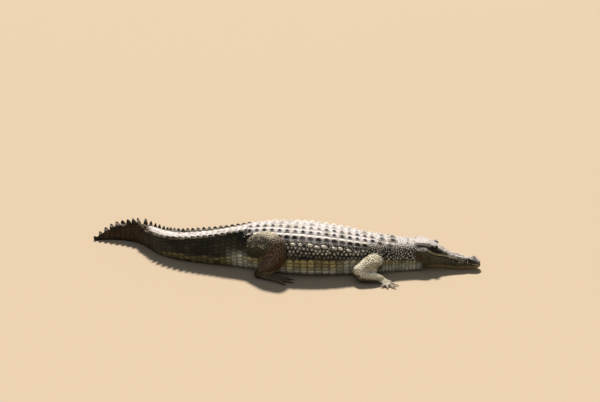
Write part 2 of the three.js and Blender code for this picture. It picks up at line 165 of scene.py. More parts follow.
coatForm = {"belly": 2.2 * mm, "flank": 2.0 * mm, "back": 2.3 * mm, "thinUnder": 0.04}


def coatDepth(back, turn):
    # how far the skin lies inside the outline: most under the back's scutes, least under the belly,
    # and less where the tail is thin
    up = np.cos(turn)
    upper = coatForm["flank"] * ramp(up, -0.5, 0.2)
    depth = coatForm["belly"] + upper + coatForm["back"] * ramp(up, 0.3, 0.7)
    return depth * np.minimum(1, halfWidth(back) / coatForm["thinUnder"])


def bodyPoint(back, turn, lift=0.0):
    # turn runs round the section from the top of the back, positive to the animal's left
    back, turn = np.broadcast_arrays(np.asarray(back, float), np.asarray(turn, float))
    depth = coatDepth(back, turn) - lift
    up, side = np.cos(turn), np.sin(turn)
    widest = widestShare(back) * backHeight(back)
    power = 2 / np.where(up > 0, squareness(back), undersideSquareness(back))
    out = (halfWidth(back) - depth) * np.sign(side) * np.abs(side) ** power
    reach = np.where(up > 0, backHeight(back) - widest, widest + bodyForm["bellySink"]) - depth
    height = widest + reach * np.sign(up) * np.abs(up) ** power
    ahead = aheadAt(back)
    centre = spineAt(back)
    x = centre[..., 0] - ahead[..., 1] * out
    y = centre[..., 1] + ahead[..., 0] * out
    return np.stack([x, y, np.maximum(height, floorGap)], -1)


# Tables that turn an arc length across the back into a turn, and a direction from the axis into an arc length
stationStep = 0.01
stations = np.arange(-0.06, 2.5, stationStep)
acrossStep = 0.004
acrossSteps = 180
polarSteps = 181
turnOfAcross = np.zeros((len(stations), acrossSteps))
acrossOfPolar = np.zeros((len(stations), polarSteps))
for row, station in enumerate(stations):
    turns = np.linspace(0, math.pi, 240)
    section = bodyPoint(station, turns)
    centre = spineAt(station)
    out = np.hypot(section[:, 0] - centre[0], section[:, 1] - centre[1])
    rise = section[:, 2] - widestShare(station) * backHeight(station)
    arc = np.concatenate([[0], np.cumsum(np.hypot(np.diff(out), np.diff(section[:, 2])))])
    turnOfAcross[row] = np.interp(np.arange(acrossSteps) * acrossStep, arc, turns)
    polar = np.maximum.accumulate(np.arctan2(out, rise))
    acrossOfPolar[row] = np.interp(np.linspace(0, math.pi, polarSteps), polar, arc)


def stationRow(back):
    return (back - stations[0]) / (stations[1] - stations[0])


def lookUp(table, rowPlace, columnPlace):
    # a value between the four nearest of the table
    row = np.clip(rowPlace, 0, table.shape[0] - 1.001)
    column = np.clip(columnPlace, 0, table.shape[1] - 1.001)
    r, c = row.astype(int), column.astype(int)
    fr, fc = row - r, column - c
    upper = table[r, c] * (1 - fc) + table[r, c + 1] * fc
    lower = table[r + 1, c] * (1 - fc) + table[r + 1, c + 1] * fc
    return upper * (1 - fr) + lower * fr


def bodySurface(back, across, lift=0.0):
    back, across = np.broadcast_arrays(np.asarray(back, float), np.asarray(across, float))
    turn = lookUp(turnOfAcross, stationRow(back), np.abs(across) / acrossStep) * np.sign(across)
    return bodyPoint(back, turn, lift)


def bodyFrameAt(back, across):
    # point, outward normal, and the lie of the scales, which is towards the tail
    step = 0.003
    point = bodySurface(back, across)
    lie = bodySurface(back + step, across) - bodySurface(back - step, across)
    left = bodySurface(back, across + step) - bodySurface(back, across - step)
    normal = np.cross(left, lie)
    return point, unit(normal), unit(lie)


# The head's outline, from the skull's back edge ahead to the snout tip
headForm = {
    "length": 0.458,
    "start": (0.742, 0.012),
    "yaw": math.radians(-6.5),
    "crown": [
        (-5, 209), (60, 207), (100, 197), (150, 172), (184, 148), (242, 117), (300, 99), (350, 91),
        (392, 87), (425, 80), (446, 69), (458, 56),
    ],
    "crownHalf": [
        (-5, 64), (60, 60), (100, 42), (150, 34), (300, 30), (360, 22), (410, 26), (445, 15), (458, 5),
    ],
    "cheekHalf": [
        (-5, 116), (50, 112), (90, 104), (128, 91), (184, 73), (242, 61), (300, 57), (335, 53), (365, 40),
        (385, 41), (410, 46), (432, 42), (449, 28), (458, 10),
    ],
    "cheekHeight": [
        (-5, 128), (80, 124), (128, 112), (184, 95), (242, 82), (300, 66), (365, 56), (410, 52), (458, 44),
    ],
    "jawBottom": [
        (-5, 1), (40, 12), (90, 28), (180, 23), (250, 14), (320, 10), (385, 12), (430, 16), (449, 23),
        (458, 34),
    ],
    "lipHeight": [
        (-60, 166), (40, 160), (88, 149), (120, 133), (150, 121), (218, 104), (275, 84), (312, 68),
        (335, 66), (364, 70), (388, 60), (412, 54), (440, 54), (480, 52),
    ],
    "mouthCorner": 0.088,
    "mouthGape": 0.011,
    "mouthSlit": 0.3 * mm,
    "inset": 0.0012,
}
crown = along(headForm["crown"])
crownHalf = along(headForm["crownHalf"])
cheekHalf = along(headForm["cheekHalf"])
cheekHeight = along(headForm["cheekHeight"])
jawBottom = along(headForm["jawBottom"])
lipHeight = along(headForm["lipHeight"])
headStart = np.array([*headForm["start"], 0])
headAhead = np.array([math.cos(headForm["yaw"]), math.sin(headForm["yaw"]), 0])
headLeft = leftOf(headAhead)
upwards = np.array([0, 0, 1.0])


def headPoint(ahead, left, height):
    ahead, left, height = (np.asarray(value, float)[..., None] for value in (ahead, left, height))
    return headStart + headAhead * ahead + headLeft * left + upwards * height


def headPlace(points):
    offset = points - headStart
    return offset @ headAhead, offset @ headLeft, points[..., 2]


def fromMouth(ahead, height):
    # how far a height is above the line between the lips
    return height - (lipHeight(ahead) - gapeAt(ahead) / 2)


def gapeAt(ahead):
    share = np.maximum(0, ahead - headForm["mouthCorner"]) / (headForm["length"] - headForm["mouthCorner"])
    return headForm["mouthSlit"] + headForm["mouthGape"] * share


def headOutline(ahead, inset, perSpan=4):
    top, flat, cheek = crown(ahead) - inset, crownHalf(ahead) - inset, cheekHalf(ahead) - inset
    wide, bottom = cheekHeight(ahead), jawBottom(ahead) + inset
    flat, cheek = max(flat, 2 * mm), max(cheek, 4 * mm)
    shoulder = min(flat * 1.25, cheek * 0.88)
    half = [
        (0, top), (flat * 0.62, top), (flat, top - 0.03 * (top - wide)), (shoulder, top - 0.3 * (top - wide)),
        (cheek * 0.93, wide + 0.28 * (top - wide)), (cheek, wide),
        (cheek * 0.95, wide - 0.5 * (wide - bottom)), (cheek * 0.78, bottom + 0.1 * (wide - bottom)),
        (cheek * 0.45, bottom - 3 * mm), (0, bottom - 4 * mm),
    ]
    outline = half + [(-out, height) for out, height in half[-2:0:-1]]
    return roundThrough(outline, perSpan, closed=True)


# The legs, in the body's own directions from the hip or shoulder: ahead, outwards, height
frontLeg = {
    "back": 330,
    "upper": ([(36, 120, 96), (-4, 198, 100), (-86, 262, 68)], [(66, 68), (67, 66), (54, 54)]),
    "lower": ([(-66, 268, 50), (0, 280, 47), (72, 288, 31)], [(49, 49), (46, 44), (28, 23)]),
    "foot": ([(70, 288, 27), (100, 318, 17)], [(28, 21), (38, 15)]),
    "toeRadius": 9.5,
    "webReach": 0,
    "toes": [(136, 282), (164, 334), (148, 376), (104, 386), (60, 362)],
}
hindToes = {
    "back": 1085,
    "foot": ([(2, 236, 32), (124, 260, 17)], [(33, 31), (43, 14)]),
    "toeRadius": 10.5,
    "webReach": 0.62,
    "toes": [(186, 218), (238, 246), (246, 294), (214, 338)],
}
hindRight = {
    **hindToes,
    "upper": ([(-36, 94, 174), (64, 152, 208), (138, 198, 210)], [(84, 98), (92, 106), (74, 87)]),
    "lower": ([(148, 208, 172), (98, 224, 104), (22, 234, 46)], [(60, 68), (62, 64), (36, 38)]),
}
hindLeft = {
    **hindToes,
    "upper": ([(-56, 90, 146), (22, 165, 152), (104, 228, 142)], [(78, 88), (80, 84), (57, 60)]),
    "lower": ([(114, 236, 120), (66, 240, 82), (14, 236, 46)], [(53, 56), (50, 50), (36, 38)]),
}
legs = {
    "front_right": (frontLeg, -1), "front_left": (frontLeg, 1),
    "hind_right": (hindRight, -1), "hind_left": (hindLeft, 1),
}
legInset = 2.4 * mm
toeInset = 1.2 * mm


def legPoint(leg, side, point):
    forward, out, height = (value * mm for value in point)
    back = leg["back"] * mm
    ahead = aheadAt(back)
    place = spineAt(back) + ahead * forward + np.array([-ahead[1], ahead[0]]) * side * out
    return [place[0], place[1], height]


def legPath(leg, side, points):
    return [legPoint(leg, side, point) for point in points]


def toePoints(leg, index):
    root = leg["foot"][0][-1]
    forward, out = leg["toes"][index]
    spread = (index / (len(leg["toes"]) - 1) - 0.5) * 46
    heel = (root[0] + 4, root[1] + spread, 13)
    knuckle = ((heel[0] + forward) / 2, (heel[1] + out) / 2, 15)
    return [heel, knuckle, (forward, out, 8)]


def limbRings(points, radii, inset, sides=20, perSpan=10):
    path = roundThrough(points, perSpan)
    tangent = unit(np.gradient(path, axis=0))
    level = unit(np.cross(upwards, tangent))
    upright = np.cross(tangent, level)
    share = np.linspace(0, len(radii) - 1, len(path))
    given = range(len(radii))
    size = np.stack([np.interp(share, given, [pair[axis] * mm for pair in radii]) for axis in (0, 1)], -1)
    size = np.maximum(size - inset, 2 * mm)
    cosines, sines = circle(sides)
    capTurns, capDepth = (0.25, 0.6, 1.0, 1.35), 0.72  # the ends are rounded, a little flatter than balls
    stops = [(0, -math.sin(turn), math.cos(turn)) for turn in capTurns[::-1]]
    stops += [(at, 0, 1) for at in range(len(path))]
    stops += [(len(path) - 1, math.sin(turn), math.cos(turn)) for turn in capTurns]
    rings = []
    for at, shift, scale in stops:
        centre = path[at] + tangent[at] * shift * size[at, 1] * capDepth
        ring = cosines * level[at] * size[at, 0] + sines * upright[at] * size[at, 1]
        rings.append(centre + ring * scale)
    return rings


def addLoft(bm, rings):
    # a tube through the rings, with open ends
    rings = np.array(rings)
    count, sides = rings.shape[:2]
    grid = bmesh.ops.create_grid(bm, x_segments=count - 1, y_segments=sides, size=1)["verts"]
    for vert in grid:
        ring = round((vert.co.x + 1) / 2 * (count - 1))
        side = round((vert.co.y + 1) / 2 * sides) % sides
        vert.co = rings[ring, side]
    bmesh.ops.remove_doubles(bm, verts=grid, dist=1e-6)


def loftedPoints(bm, rings):
    # adds a loft, and says where its points are
    before = len(bm.verts)
    addLoft(bm, rings)
    bm.verts.ensure_lookup_table()
    return np.array([bm.verts[at].co for at in range(before, len(bm.verts))])


def addBall(bm, centre, radii):
    ball = bmesh.ops.create_uvsphere(bm, u_segments=28, v_segments=18, radius=1)["verts"]
    for vert in ball:
        ahead, left, height = vert.co.x * radii[0], vert.co.y * radii[1], vert.co.z * radii[2]
        forward, sideways = Vector(headAhead) * ahead, Vector(headLeft) * left
        vert.co = Vector(centre) + forward + sideways + Vector((0, 0, height))


def closeEnds(bm):
    ends = [edge for edge in bm.edges if edge.is_boundary]
    bmesh.ops.holes_fill(bm, edges=ends, sides=0)
    bmesh.ops.recalc_face_normals(bm, faces=bm.faces)


def linked(name, data):
    thing = bpy.data.objects.new(name, data)
    bpy.context.scene.collection.objects.link(thing)
    return thing


def finishObject(bm, name):
    mesh = bpy.data.meshes.new(name)
    bm.to_mesh(mesh)
    bm.free()
    return linked(name, mesh)


def applied(piece):
    # the piece's modifiers made part of its mesh
    graph = bpy.context.evaluated_depsgraph_get()
    mesh = bpy.data.meshes.new_from_object(piece.evaluated_get(graph))
    old = piece.data
    piece.modifiers.clear()
    piece.data = mesh
    bpy.data.meshes.remove(old)
    mesh.name = piece.name


eyeForm = {
    "radius": 0.015, "cornea": 0.045, "ahead": 0.130, "out": 0.052, "height": 0.173,
    "gaze": (0.18, 0.90, 0.34),
}
skinForm = {
    "voxel": 0.0036,
    "smoothing": 5,
    "thinnedFaces": 172000 * 0.78,
    # balls in the head's directions, as centre and radii
    "lids": ((0.122, 0.045, 0.168), (0.036, 0.023, 0.025)),
    "jawMuscle": ((0.042, 0.080, 0.136), (0.064, 0.034, 0.045)),
    "nostrils": ((0.404, 0, 0.078), (0.027, 0.025, 0.015)),
}


def buildSkinShell():
    bm = bmesh.new()
    neckStart, tailTip, sides = bodyForm["neckStart"], bodyForm["tailTip"], bodyForm["ringSides"]
    backs = np.append(np.arange(neckStart, tailTip, bodyForm["ringStep"]), tailTip)
    turns = np.arange(sides) * 2 * math.pi / sides
    addLoft(bm, [bodyPoint(back, turns) for back in backs])
    aheads = np.append(np.arange(-0.024, 0.452, 0.004), [0.4545, headForm["length"] - 0.0015])
    upper, lower = [], []
    for ahead in aheads:
        sunk = 0.016 * ramp(-ahead, 0.0, 0.02)  # behind the skull the outline sinks into the neck
        outline = headOutline(max(ahead, -0.004), headForm["inset"] + sunk)
        height = np.maximum(outline[:, 1], floorGap)
        lip = float(lipHeight(ahead))
        upper.append(headPoint(ahead, outline[:, 0], np.maximum(height, lip)))
        lower.append(headPoint(ahead, outline[:, 0], np.minimum(height, lip - gapeAt(ahead))))
    addLoft(bm, upper)
    addLoft(bm, lower)
    addBall(bm, headPoint(*skinForm["nostrils"][0]), skinForm["nostrils"][1])
    for side in (-1, 1):
        for ball in ("lids", "jawMuscle"):
            (ahead, left, height), radii = skinForm[ball]
            addBall(bm, headPoint(ahead, left * side, height), np.array(radii) - headForm["inset"])
    for leg, side in legs.values():
        for part in ("upper", "lower", "foot"):
            points, radii = leg[part]
            addLoft(bm, limbRings(legPath(leg, side, points), radii, legInset))
        taper = [[share * leg["toeRadius"]] * 2 for share in (1.05, 1, 0.72)]
        for index in range(len(leg["toes"])):
            addLoft(bm, limbRings(legPath(leg, side, toePoints(leg, index)), taper, toeInset, sides=14))
        if leg["webReach"]:
            addWeb(bm, leg, side)
    closeEnds(bm)
    return finishObject(bm, "skin")


def addWeb(bm, leg, side):
    # a thin plate between the toes, drawn in between each two
    root = np.array(leg["foot"][0][-1][:2], float)
    rim = []
    toes = np.array(leg["toes"], float)
    for index, toe in enumerate(toes):
        rim.append(root + (toe - root) * min(leg["webReach"] + 0.25, 0.9))
        if index + 1 < len(toes):
            rim.append(root + ((toe + toes[index + 1]) / 2 - root) * leg["webReach"])
    rim += [root + (0, 24), root - (0, 24)]
    verts = [bm.verts.new(legPoint(leg, side, (*spot, 3.5))) for spot in rim]
    plate = bm.faces.new(verts)
    raised = bmesh.ops.extrude_face_region(bm, geom=[plate])
    moved = [item for item in raised["geom"] if isinstance(item, bmesh.types.BMVert)]
    bmesh.ops.translate(bm, verts=moved, vec=(0, 0, 5 * mm))


skin = buildSkinShell()
remesh = skin.modifiers.new("remesh", "REMESH")
remesh.mode = "VOXEL"
remesh.voxel_size = skinForm["voxel"]
smooth = skin.modifiers.new("smooth", "SMOOTH")
smooth.factor = 0.5
smooth.iterations = skinForm["smoothing"]
applied(skin)
print("skin remeshed:", len(skin.data.polygons), "faces")


def readPoints(mesh):
    points = np.zeros(len(mesh.vertices) * 3)
    mesh.vertices.foreach_get("co", points)
    return points.reshape(-1, 3)


def writePoints(mesh, points):
    mesh.vertices.foreach_set("co", np.asarray(points, np.float32).ravel())
    mesh.update()


def shadeSmooth(mesh):
    mesh.polygons.foreach_set("use_smooth", [True] * len(mesh.polygons))


def readNormals(mesh):
    normals = np.zeros(len(mesh.vertices) * 3)
    mesh.vertices.foreach_get("normal", normals)
    return normals.reshape(-1, 3)


# The limbs' centre lines, so that any point of the skin knows which limb it is on and how far down
limbSamples = []
for legIndex, (leg, side) in enumerate(legs.values()):
    for partIndex, part in enumerate(("upper", "lower", "foot")):
        points, radii = leg[part]
        line = roundThrough(legPath(leg, side, points), 8)
        share = np.linspace(0, 1, len(line))
        sizes = np.interp(share, np.linspace(0, 1, len(radii)), [pair[0] for pair in radii])
        lies = unit(np.gradient(line, axis=0))
        for at, (point, lie, size) in enumerate(zip(line, lies, sizes * mm)):
            limbSamples.append((*point, *lie, size, legIndex, partIndex + at / len(line), -1))
    for toe in range(len(leg["toes"])):
        line = roundThrough(legPath(leg, side, toePoints(leg, toe)), 8)
        for at, (point, lie) in enumerate(zip(line, unit(np.gradient(line, axis=0)))):
            limbSamples.append((*point, *lie, leg["toeRadius"] * mm, legIndex, 3 + at / len(line), toe))
limbSamples = np.array(limbSamples)
limbTree = treeOf(limbSamples[:, :3])
spineStops = np.arange(-0.06, 2.5, 0.006)
spineTree = treeOf([(*spot, 0) for spot in spineAt(spineStops)])


def placesOf(points):
    # where points of the skin lie: on the head, body or a limb, and how far along and round it
    count = len(points)
    ahead, left, height = headPlace(points)
    nearSpine = np.array([spineTree.find((point[0], point[1], 0))[1] for point in points])
    back = spineStops[nearSpine]
    direction = aheadAt(back)
    offset = points[:, :2] - spineAt(back)
    back = back - (offset * direction).sum(-1)
    out = offset[:, 1] * direction[:, 0] - offset[:, 0] * direction[:, 1]
    rise = points[:, 2] - widestShare(back) * backHeight(back)
    polar = np.arctan2(np.abs(out), rise) / math.pi * (polarSteps - 1)
    across = lookUp(acrossOfPolar, stationRow(back), polar) * np.sign(out)
    proud = distance(points, bodySurface(back, across))
    nearLimb = np.array([limbTree.find(point)[1] for point in points])
    limb = limbSamples[nearLimb]
    limbGap = distance(points, limb[:, :3])
    onHead = ahead > 0
    onLimb = ~onHead & (proud > 6 * mm) & (limbGap < limb[:, 6] * 2.2)
    lie = unit(bodySurface(back + 0.003, across) - bodySurface(back - 0.003, across))
    lie[onHead] = -headAhead
    lie[onLimb] = limb[onLimb, 3:6]
    topward = (points[:, 2] - limb[:, 2]) / np.maximum(limbGap, 1e-6)
    return {
        "onHead": onHead, "onLimb": onLimb, "onBody": ~onHead & ~onLimb, "ahead": ahead, "left": left,
        "height": height, "back": back, "across": across, "proud": proud, "lie": lie,
        "leg": limb[:, 7].astype(int), "down": limb[:, 8], "toe": limb[:, 9].astype(int), "count": count,
        "limbIndex": nearLimb, "topward": topward,
    }


# Fewer faces on the trunk, and more where the head and feet need them
points = readPoints(skin.data)
ahead, left, height = headPlace(points)
limbSide = np.array([limbTree.find(point)[1] for point in points])
onFoot = (limbSamples[limbSide, 8] > 1.9) & (points[:, 2] < 0.06)
onFoot &= distance(points, limbSamples[limbSide, :3]) < 0.05
detailed = (ahead > -0.02) | onFoot
plainGroup = skin.vertex_groups.new(name="plain")
for chosen, weight in ((detailed, 0.12), (~detailed, 1.0)):
    plainGroup.add(np.flatnonzero(chosen).tolist(), weight, "REPLACE")
thin = skin.modifiers.new("thin", "DECIMATE")
thin.ratio = skinForm["thinnedFaces"] / (2 * len(skin.data.polygons))
thin.vertex_group = "plain"
thin.vertex_group_factor = 1.0
applied(skin)
skin.vertex_groups.clear()
points = readPoints(skin.data)
print("skin thinned:", len(skin.data.polygons), "faces, on the head:", int((headPlace(points)[0] > 0).sum()))

# The head's skin gets finer faces round the eyes, lips, ears and nostrils, and then its folds
headDetail = {
    "fineReach": 0.031,
    "finestReach": 0.023,
    "nostril": (0.414, 0.0105),
    "nostrilHeight": 0.088,
    "ear": ((0.014, 0.189), (0.060, 0.186)),
    "lipGroove": 3.4 * mm,
    "lipSwell": 1.3 * mm,
    "lipBulges": (0.262, 0.293, 0.315, 0.336, 0.410, 0.429),  # the lip stands out over each large tooth
    "socketDepth": 0.0125,
    "lidRadius": 0.0178,
    "browRadius": 0.0190,
    "lidFold": 0.9 * mm,
    "opening": (0.0135, 0.0050, 0.0042),  # half length, height above, height below
}


def eyeCentre(side):
    return headPoint(eyeForm["ahead"], side * eyeForm["out"], eyeForm["height"])


def eyeAxes(side):
    ahead, out, rise = eyeForm["gaze"]
    gaze = unit(headAhead * ahead + headLeft * side * out + upwards * rise)
    level = unit(headAhead - gaze * (headAhead @ gaze) + upwards * 0.06)
    return level, unit(np.cross(gaze, level) * side), gaze


def nostrilCentre(side):
    ahead, out = headDetail["nostril"]
    return headPoint(ahead, side * out, headDetail["nostrilHeight"])


def earLineAt(ahead):
    (back, rearHeight), (front, frontHeight) = headDetail["ear"]
    return rearHeight + (frontHeight - rearHeight) * (ahead - back) / (front - back)


def nearHeadDetail(points, reach, withLips):
    ahead, left, height = headPlace(points)
    near = np.zeros(len(points), bool)
    for side in (-1, 1):
        near |= distance(points, eyeCentre(side)) < reach
        near |= distance(points, nostrilCentre(side)) < reach * 0.45
    if withLips:
        near |= (np.abs(height - lipHeight(ahead) + gapeAt(ahead) / 2) < 0.008) & (ahead > 0.06)
        near |= (np.abs(height - 0.188) < 0.009) & (ahead < 0.075) & (np.abs(left) > 0.045)
    return near & (ahead > 0)


bm = bmesh.new()
bm.from_mesh(skin.data)
for reach in (headDetail["fineReach"], headDetail["finestReach"]):
    points = np.array([vert.co for vert in bm.verts])
    near = nearHeadDetail(points, reach, reach == headDetail["fineReach"])
    bm.verts.ensure_lookup_table()
    edges = [edge for edge in bm.edges if near[edge.verts[0].index] and near[edge.verts[1].index]]
    bmesh.ops.subdivide_edges(bm, edges=edges, cuts=1, use_grid_fill=True, smooth=0.6)
    bmesh.ops.triangulate(bm, faces=[face for face in bm.faces if len(face.verts) > 3])
    bm.verts.index_update()
bm.to_mesh(skin.data)
bm.free()


def sculptHead(points, normals):
    ahead, left, height = headPlace(points)
    out = np.abs(left)
    onHead = ahead > 0.004
    topward = ramp(normals[:, 2], 0.25, 0.7)
    sideward = ramp(np.abs(normals @ headLeft), 0.25, 0.6)
    fromLip = fromMouth(ahead, height)
    mouth = ramp(ahead, 0.074, 0.10)
    outer = np.maximum(sideward, ramp(ahead, 0.44, 0.452))
    push = -headDetail["lipGroove"] * hump(fromLip, 0, 2.6 * mm) * mouth * outer
    swell = hump(fromLip, 0.008, 0.005) + 0.8 * hump(fromLip, -0.010, 0.006)
    push += headDetail["lipSwell"] * swell * mouth * sideward
    for place in headDetail["lipBulges"]:
        push += 1.3 * mm * hump(ahead, place, 0.008) * hump(fromLip, 0.007, 0.008) * sideward
    push -= 2.5 * mm * hump(ahead, 0.366, 0.010) * hump(fromLip, 0.004, 0.012) * sideward
    # skull table: a ridge along each edge, sunken windows, and the ear slit under the edge
    push += 2.4 * mm * hump(out, 0.058, 0.006) * ramp(0.105 - ahead, 0, 0.02) * topward
    push -= 2.6 * mm * hump(ahead, 0.046, 0.017) * hump(out, 0.027, 0.013) * topward
    push -= 1.4 * mm * hump(ahead, 0.098, 0.014) * hump(out, 0.0, 0.016) * topward
    (earBack, _), (earFront, _) = headDetail["ear"]
    earLine = earLineAt(ahead)
    earSpan = ramp(ahead, earBack - 0.006, earBack) * ramp(-ahead, -earFront - 0.006, -earFront) * sideward
    push -= 4.2 * mm * hump(height, earLine, 2.4 * mm) * earSpan
    push += 2.0 * mm * hump(height, earLine + 0.006, 3.6 * mm) * earSpan
    # brow bridge ahead of each eye, the snout's middle line, and the raised disc round the nostrils
    bridge = 0.040 - (ahead - 0.15) * 0.16
    bridgeSpan = ramp(ahead, 0.142, 0.16) * ramp(-ahead, -0.25, -0.19)
    snoutEnd = ramp(-ahead, -0.39, -0.33)
    middleSpan, rimSpan = ramp(ahead, 0.15, 0.19) * snoutEnd, ramp(ahead, 0.22, 0.28) * snoutEnd
    push += 3.0 * mm * hump(out, bridge, 0.007) * bridgeSpan * topward
    push -= 1.3 * mm * hump(out, 0, 0.010) * middleSpan * topward
    push += 1.2 * mm * hump(out, 0.020, 0.008) * rimSpan * topward
    nostrilAhead, nostrilOut = headDetail["nostril"]
    disc = np.hypot((ahead - nostrilAhead) / 0.019, left / 0.021)
    push += 2.6 * mm * hump(disc, 0.8, 0.34) * topward
    slit = np.hypot((ahead - nostrilAhead - (out - nostrilOut) * 0.5) / 0.0062, (out - nostrilOut) / 0.0034)
    push -= 6.5 * mm * ramp(-slit, -1.25, -0.6) * topward
    # folds of loose skin behind the mouth's corner and along the lower jaw
    jawArea = ramp(-ahead, -0.13, -0.07) * ramp(-fromLip, 0.004, 0.02) * sideward
    push += 1.5 * mm * np.sin(ahead * 2 * math.pi / 0.019 + height * 26) * jawArea
    crease = ramp(ahead, 0.12, 0.16) * ramp(-ahead, -0.42, -0.38) * sideward * ramp(-fromLip, 0.012, 0.02)
    push -= 1.5 * mm * hump(fromLip, -0.026, 0.003) * crease
    return sculptLids(points + normals * (push * onHead)[:, None])


def sculptLids(points):
    # inside the opening the skin drops behind the eyeball; round it the lids wrap it, thickest at the brow
    halfLength, openAbove, openBelow = headDetail["opening"]
    radius, lidRadius = eyeForm["radius"], headDetail["lidRadius"]
    for side in (-1, 1):
        centre = eyeCentre(side)
        level, rise, gaze = eyeAxes(side)
        offset = points - centre
        reach = distance(points, centre)
        near = (reach < 0.036) & (offset @ gaze > 0)
        direction = offset / np.maximum(reach, 1e-6)[:, None]
        x, y = direction @ level * radius, direction @ rise * radius
        taper = np.maximum(0, 1 - (x / halfLength) ** 2)
        edge = np.maximum(y - openAbove * taper, -openBelow * taper - y)
        edge = np.where(np.abs(x) > halfLength, np.maximum(edge, np.abs(x) - halfLength), edge)
        lid = lidRadius + (headDetail["browRadius"] - lidRadius) * ramp(y, 0, 0.008)
        lid = lid - headDetail["lidFold"] * hump(edge, 0.0036, 0.0011)  # a fold just outside the rim
        target = np.where(edge < 0, headDetail["socketDepth"], lid)
        weight = ramp(-edge, -0.0105, -0.0045) * near
        points = points + direction * ((target - reach) * weight)[:, None]
    return points


points = readPoints(skin.data)
points = sculptHead(points, readNormals(skin.data))
points[:, 2] = np.maximum(points[:, 2], floorGap)
writePoints(skin.data, points)
shadeSmooth(skin.data)
print("head sculpted:", len(skin.data.polygons), "faces of skin")
faceCorners = [tuple(face.vertices) for face in skin.data.polygons]
skinTree = BVHTree.FromPolygons([Vector(point) for point in points], faceCorners)


def mottle(points, size, seed=0):
    # a smooth field of chance from 0 to 1, with patches about size across
    cell = np.asarray(points) / size + seed * 17.31 + 100
    base = np.floor(cell).astype(np.int64)
    share = cell - base
    share = share * share * (3 - 2 * share)
    total = np.zeros(len(cell))
    for corner in itertools.product((0, 1), repeat=3):
        x, y, z = (base + corner).T
        chance = (x * 73856093) ^ (y * 19349663) ^ (z * 83492791)  # a hash of the cell's corner
        chance = ((chance ^ (chance >> 13)) * 1274126177) & 0xFFFFFF
        first, second, third = np.where(corner, share, 1 - share).T
        total += chance / 0xFFFFFF * (first * second) * third
    return total


hideColours = {
    "backPale": "#e0dcda", "backGrey": "#b0a898", "flank": "#3a3725", "flankPatch": "#1f1e15",
    "tip": "#f0eadb", "bellySide": "#9a9062", "bellyPale": "#b5aa80", "bellyGreyAndBounceLight": "#cdd0c2",
    "tailSide": "#3d3a28", "tailBand": "#232118", "tailLow": "#7a7149", "headTop": "#ded8d4",
    "headSide": "#4a4630", "headDark": "#2a271a", "lipPale": "#c4b88e", "jaw": "#5d5a45",
    "jawBrown": "#5a4526", "jawEdge": "#a3925f", "throat": "#b0a67c", "armPale": "#efe8cf",
    "armGreen": "#aca672", "thigh": "#3d3a25", "thighPale": "#d6cdae", "rust": "#573a1a",
    "footPale": "#b5aa8a", "mouth": "#20120c",
}
paint = {name: hexLinear(text) for name, text in hideColours.items()}


def blend(under, over, share):
    share = np.asarray(share, float)[:, None]
    return under * (1 - share) + over * share


def layered(colour, *layers):
    # one colour over another: each layer's name among the paints, and its share
    for name, share in layers:
        colour = blend(colour, paint[name], share)
    return colour


dorsalBacks = [-0.05, 0.10, 0.30, 0.48, 0.70, 0.95, 1.08, 1.18, 1.40, 1.70, 1.90, 1.99, 2.03]
dorsalArcs = [0.085, 0.095, 0.120, 0.158, 0.187, 0.175, 0.140, 0.070, 0.058, 0.052, 0.044, 0.036, -0.02]
flankRowBacks, flankRowArcs = [0.30, 0.48, 0.70, 0.95, 1.08, 1.18], [0.125, 0.18, 0.215, 0.20, 0.15, 0.09]
lowBacks = [0, 0.2, 0.4, 0.7, 1.0, 1.15, 1.3, 1.7, 2.0, 2.2]
lowHeights = [0.085, 0.105, 0.130, 0.148, 0.138, 0.115, 0.088, 0.062, 0.030, -0.02]


def dorsalEdge(back):
    # how far the rows of scutes reach across the back from its middle, as an arc
    return np.interp(back, dorsalBacks, dorsalArcs)


def lowEdge(back):
    # the height under which the flank is belly
    return np.interp(back, lowBacks, lowHeights)


def plain(name, count):
    return np.tile(paint[name], (count, 1))


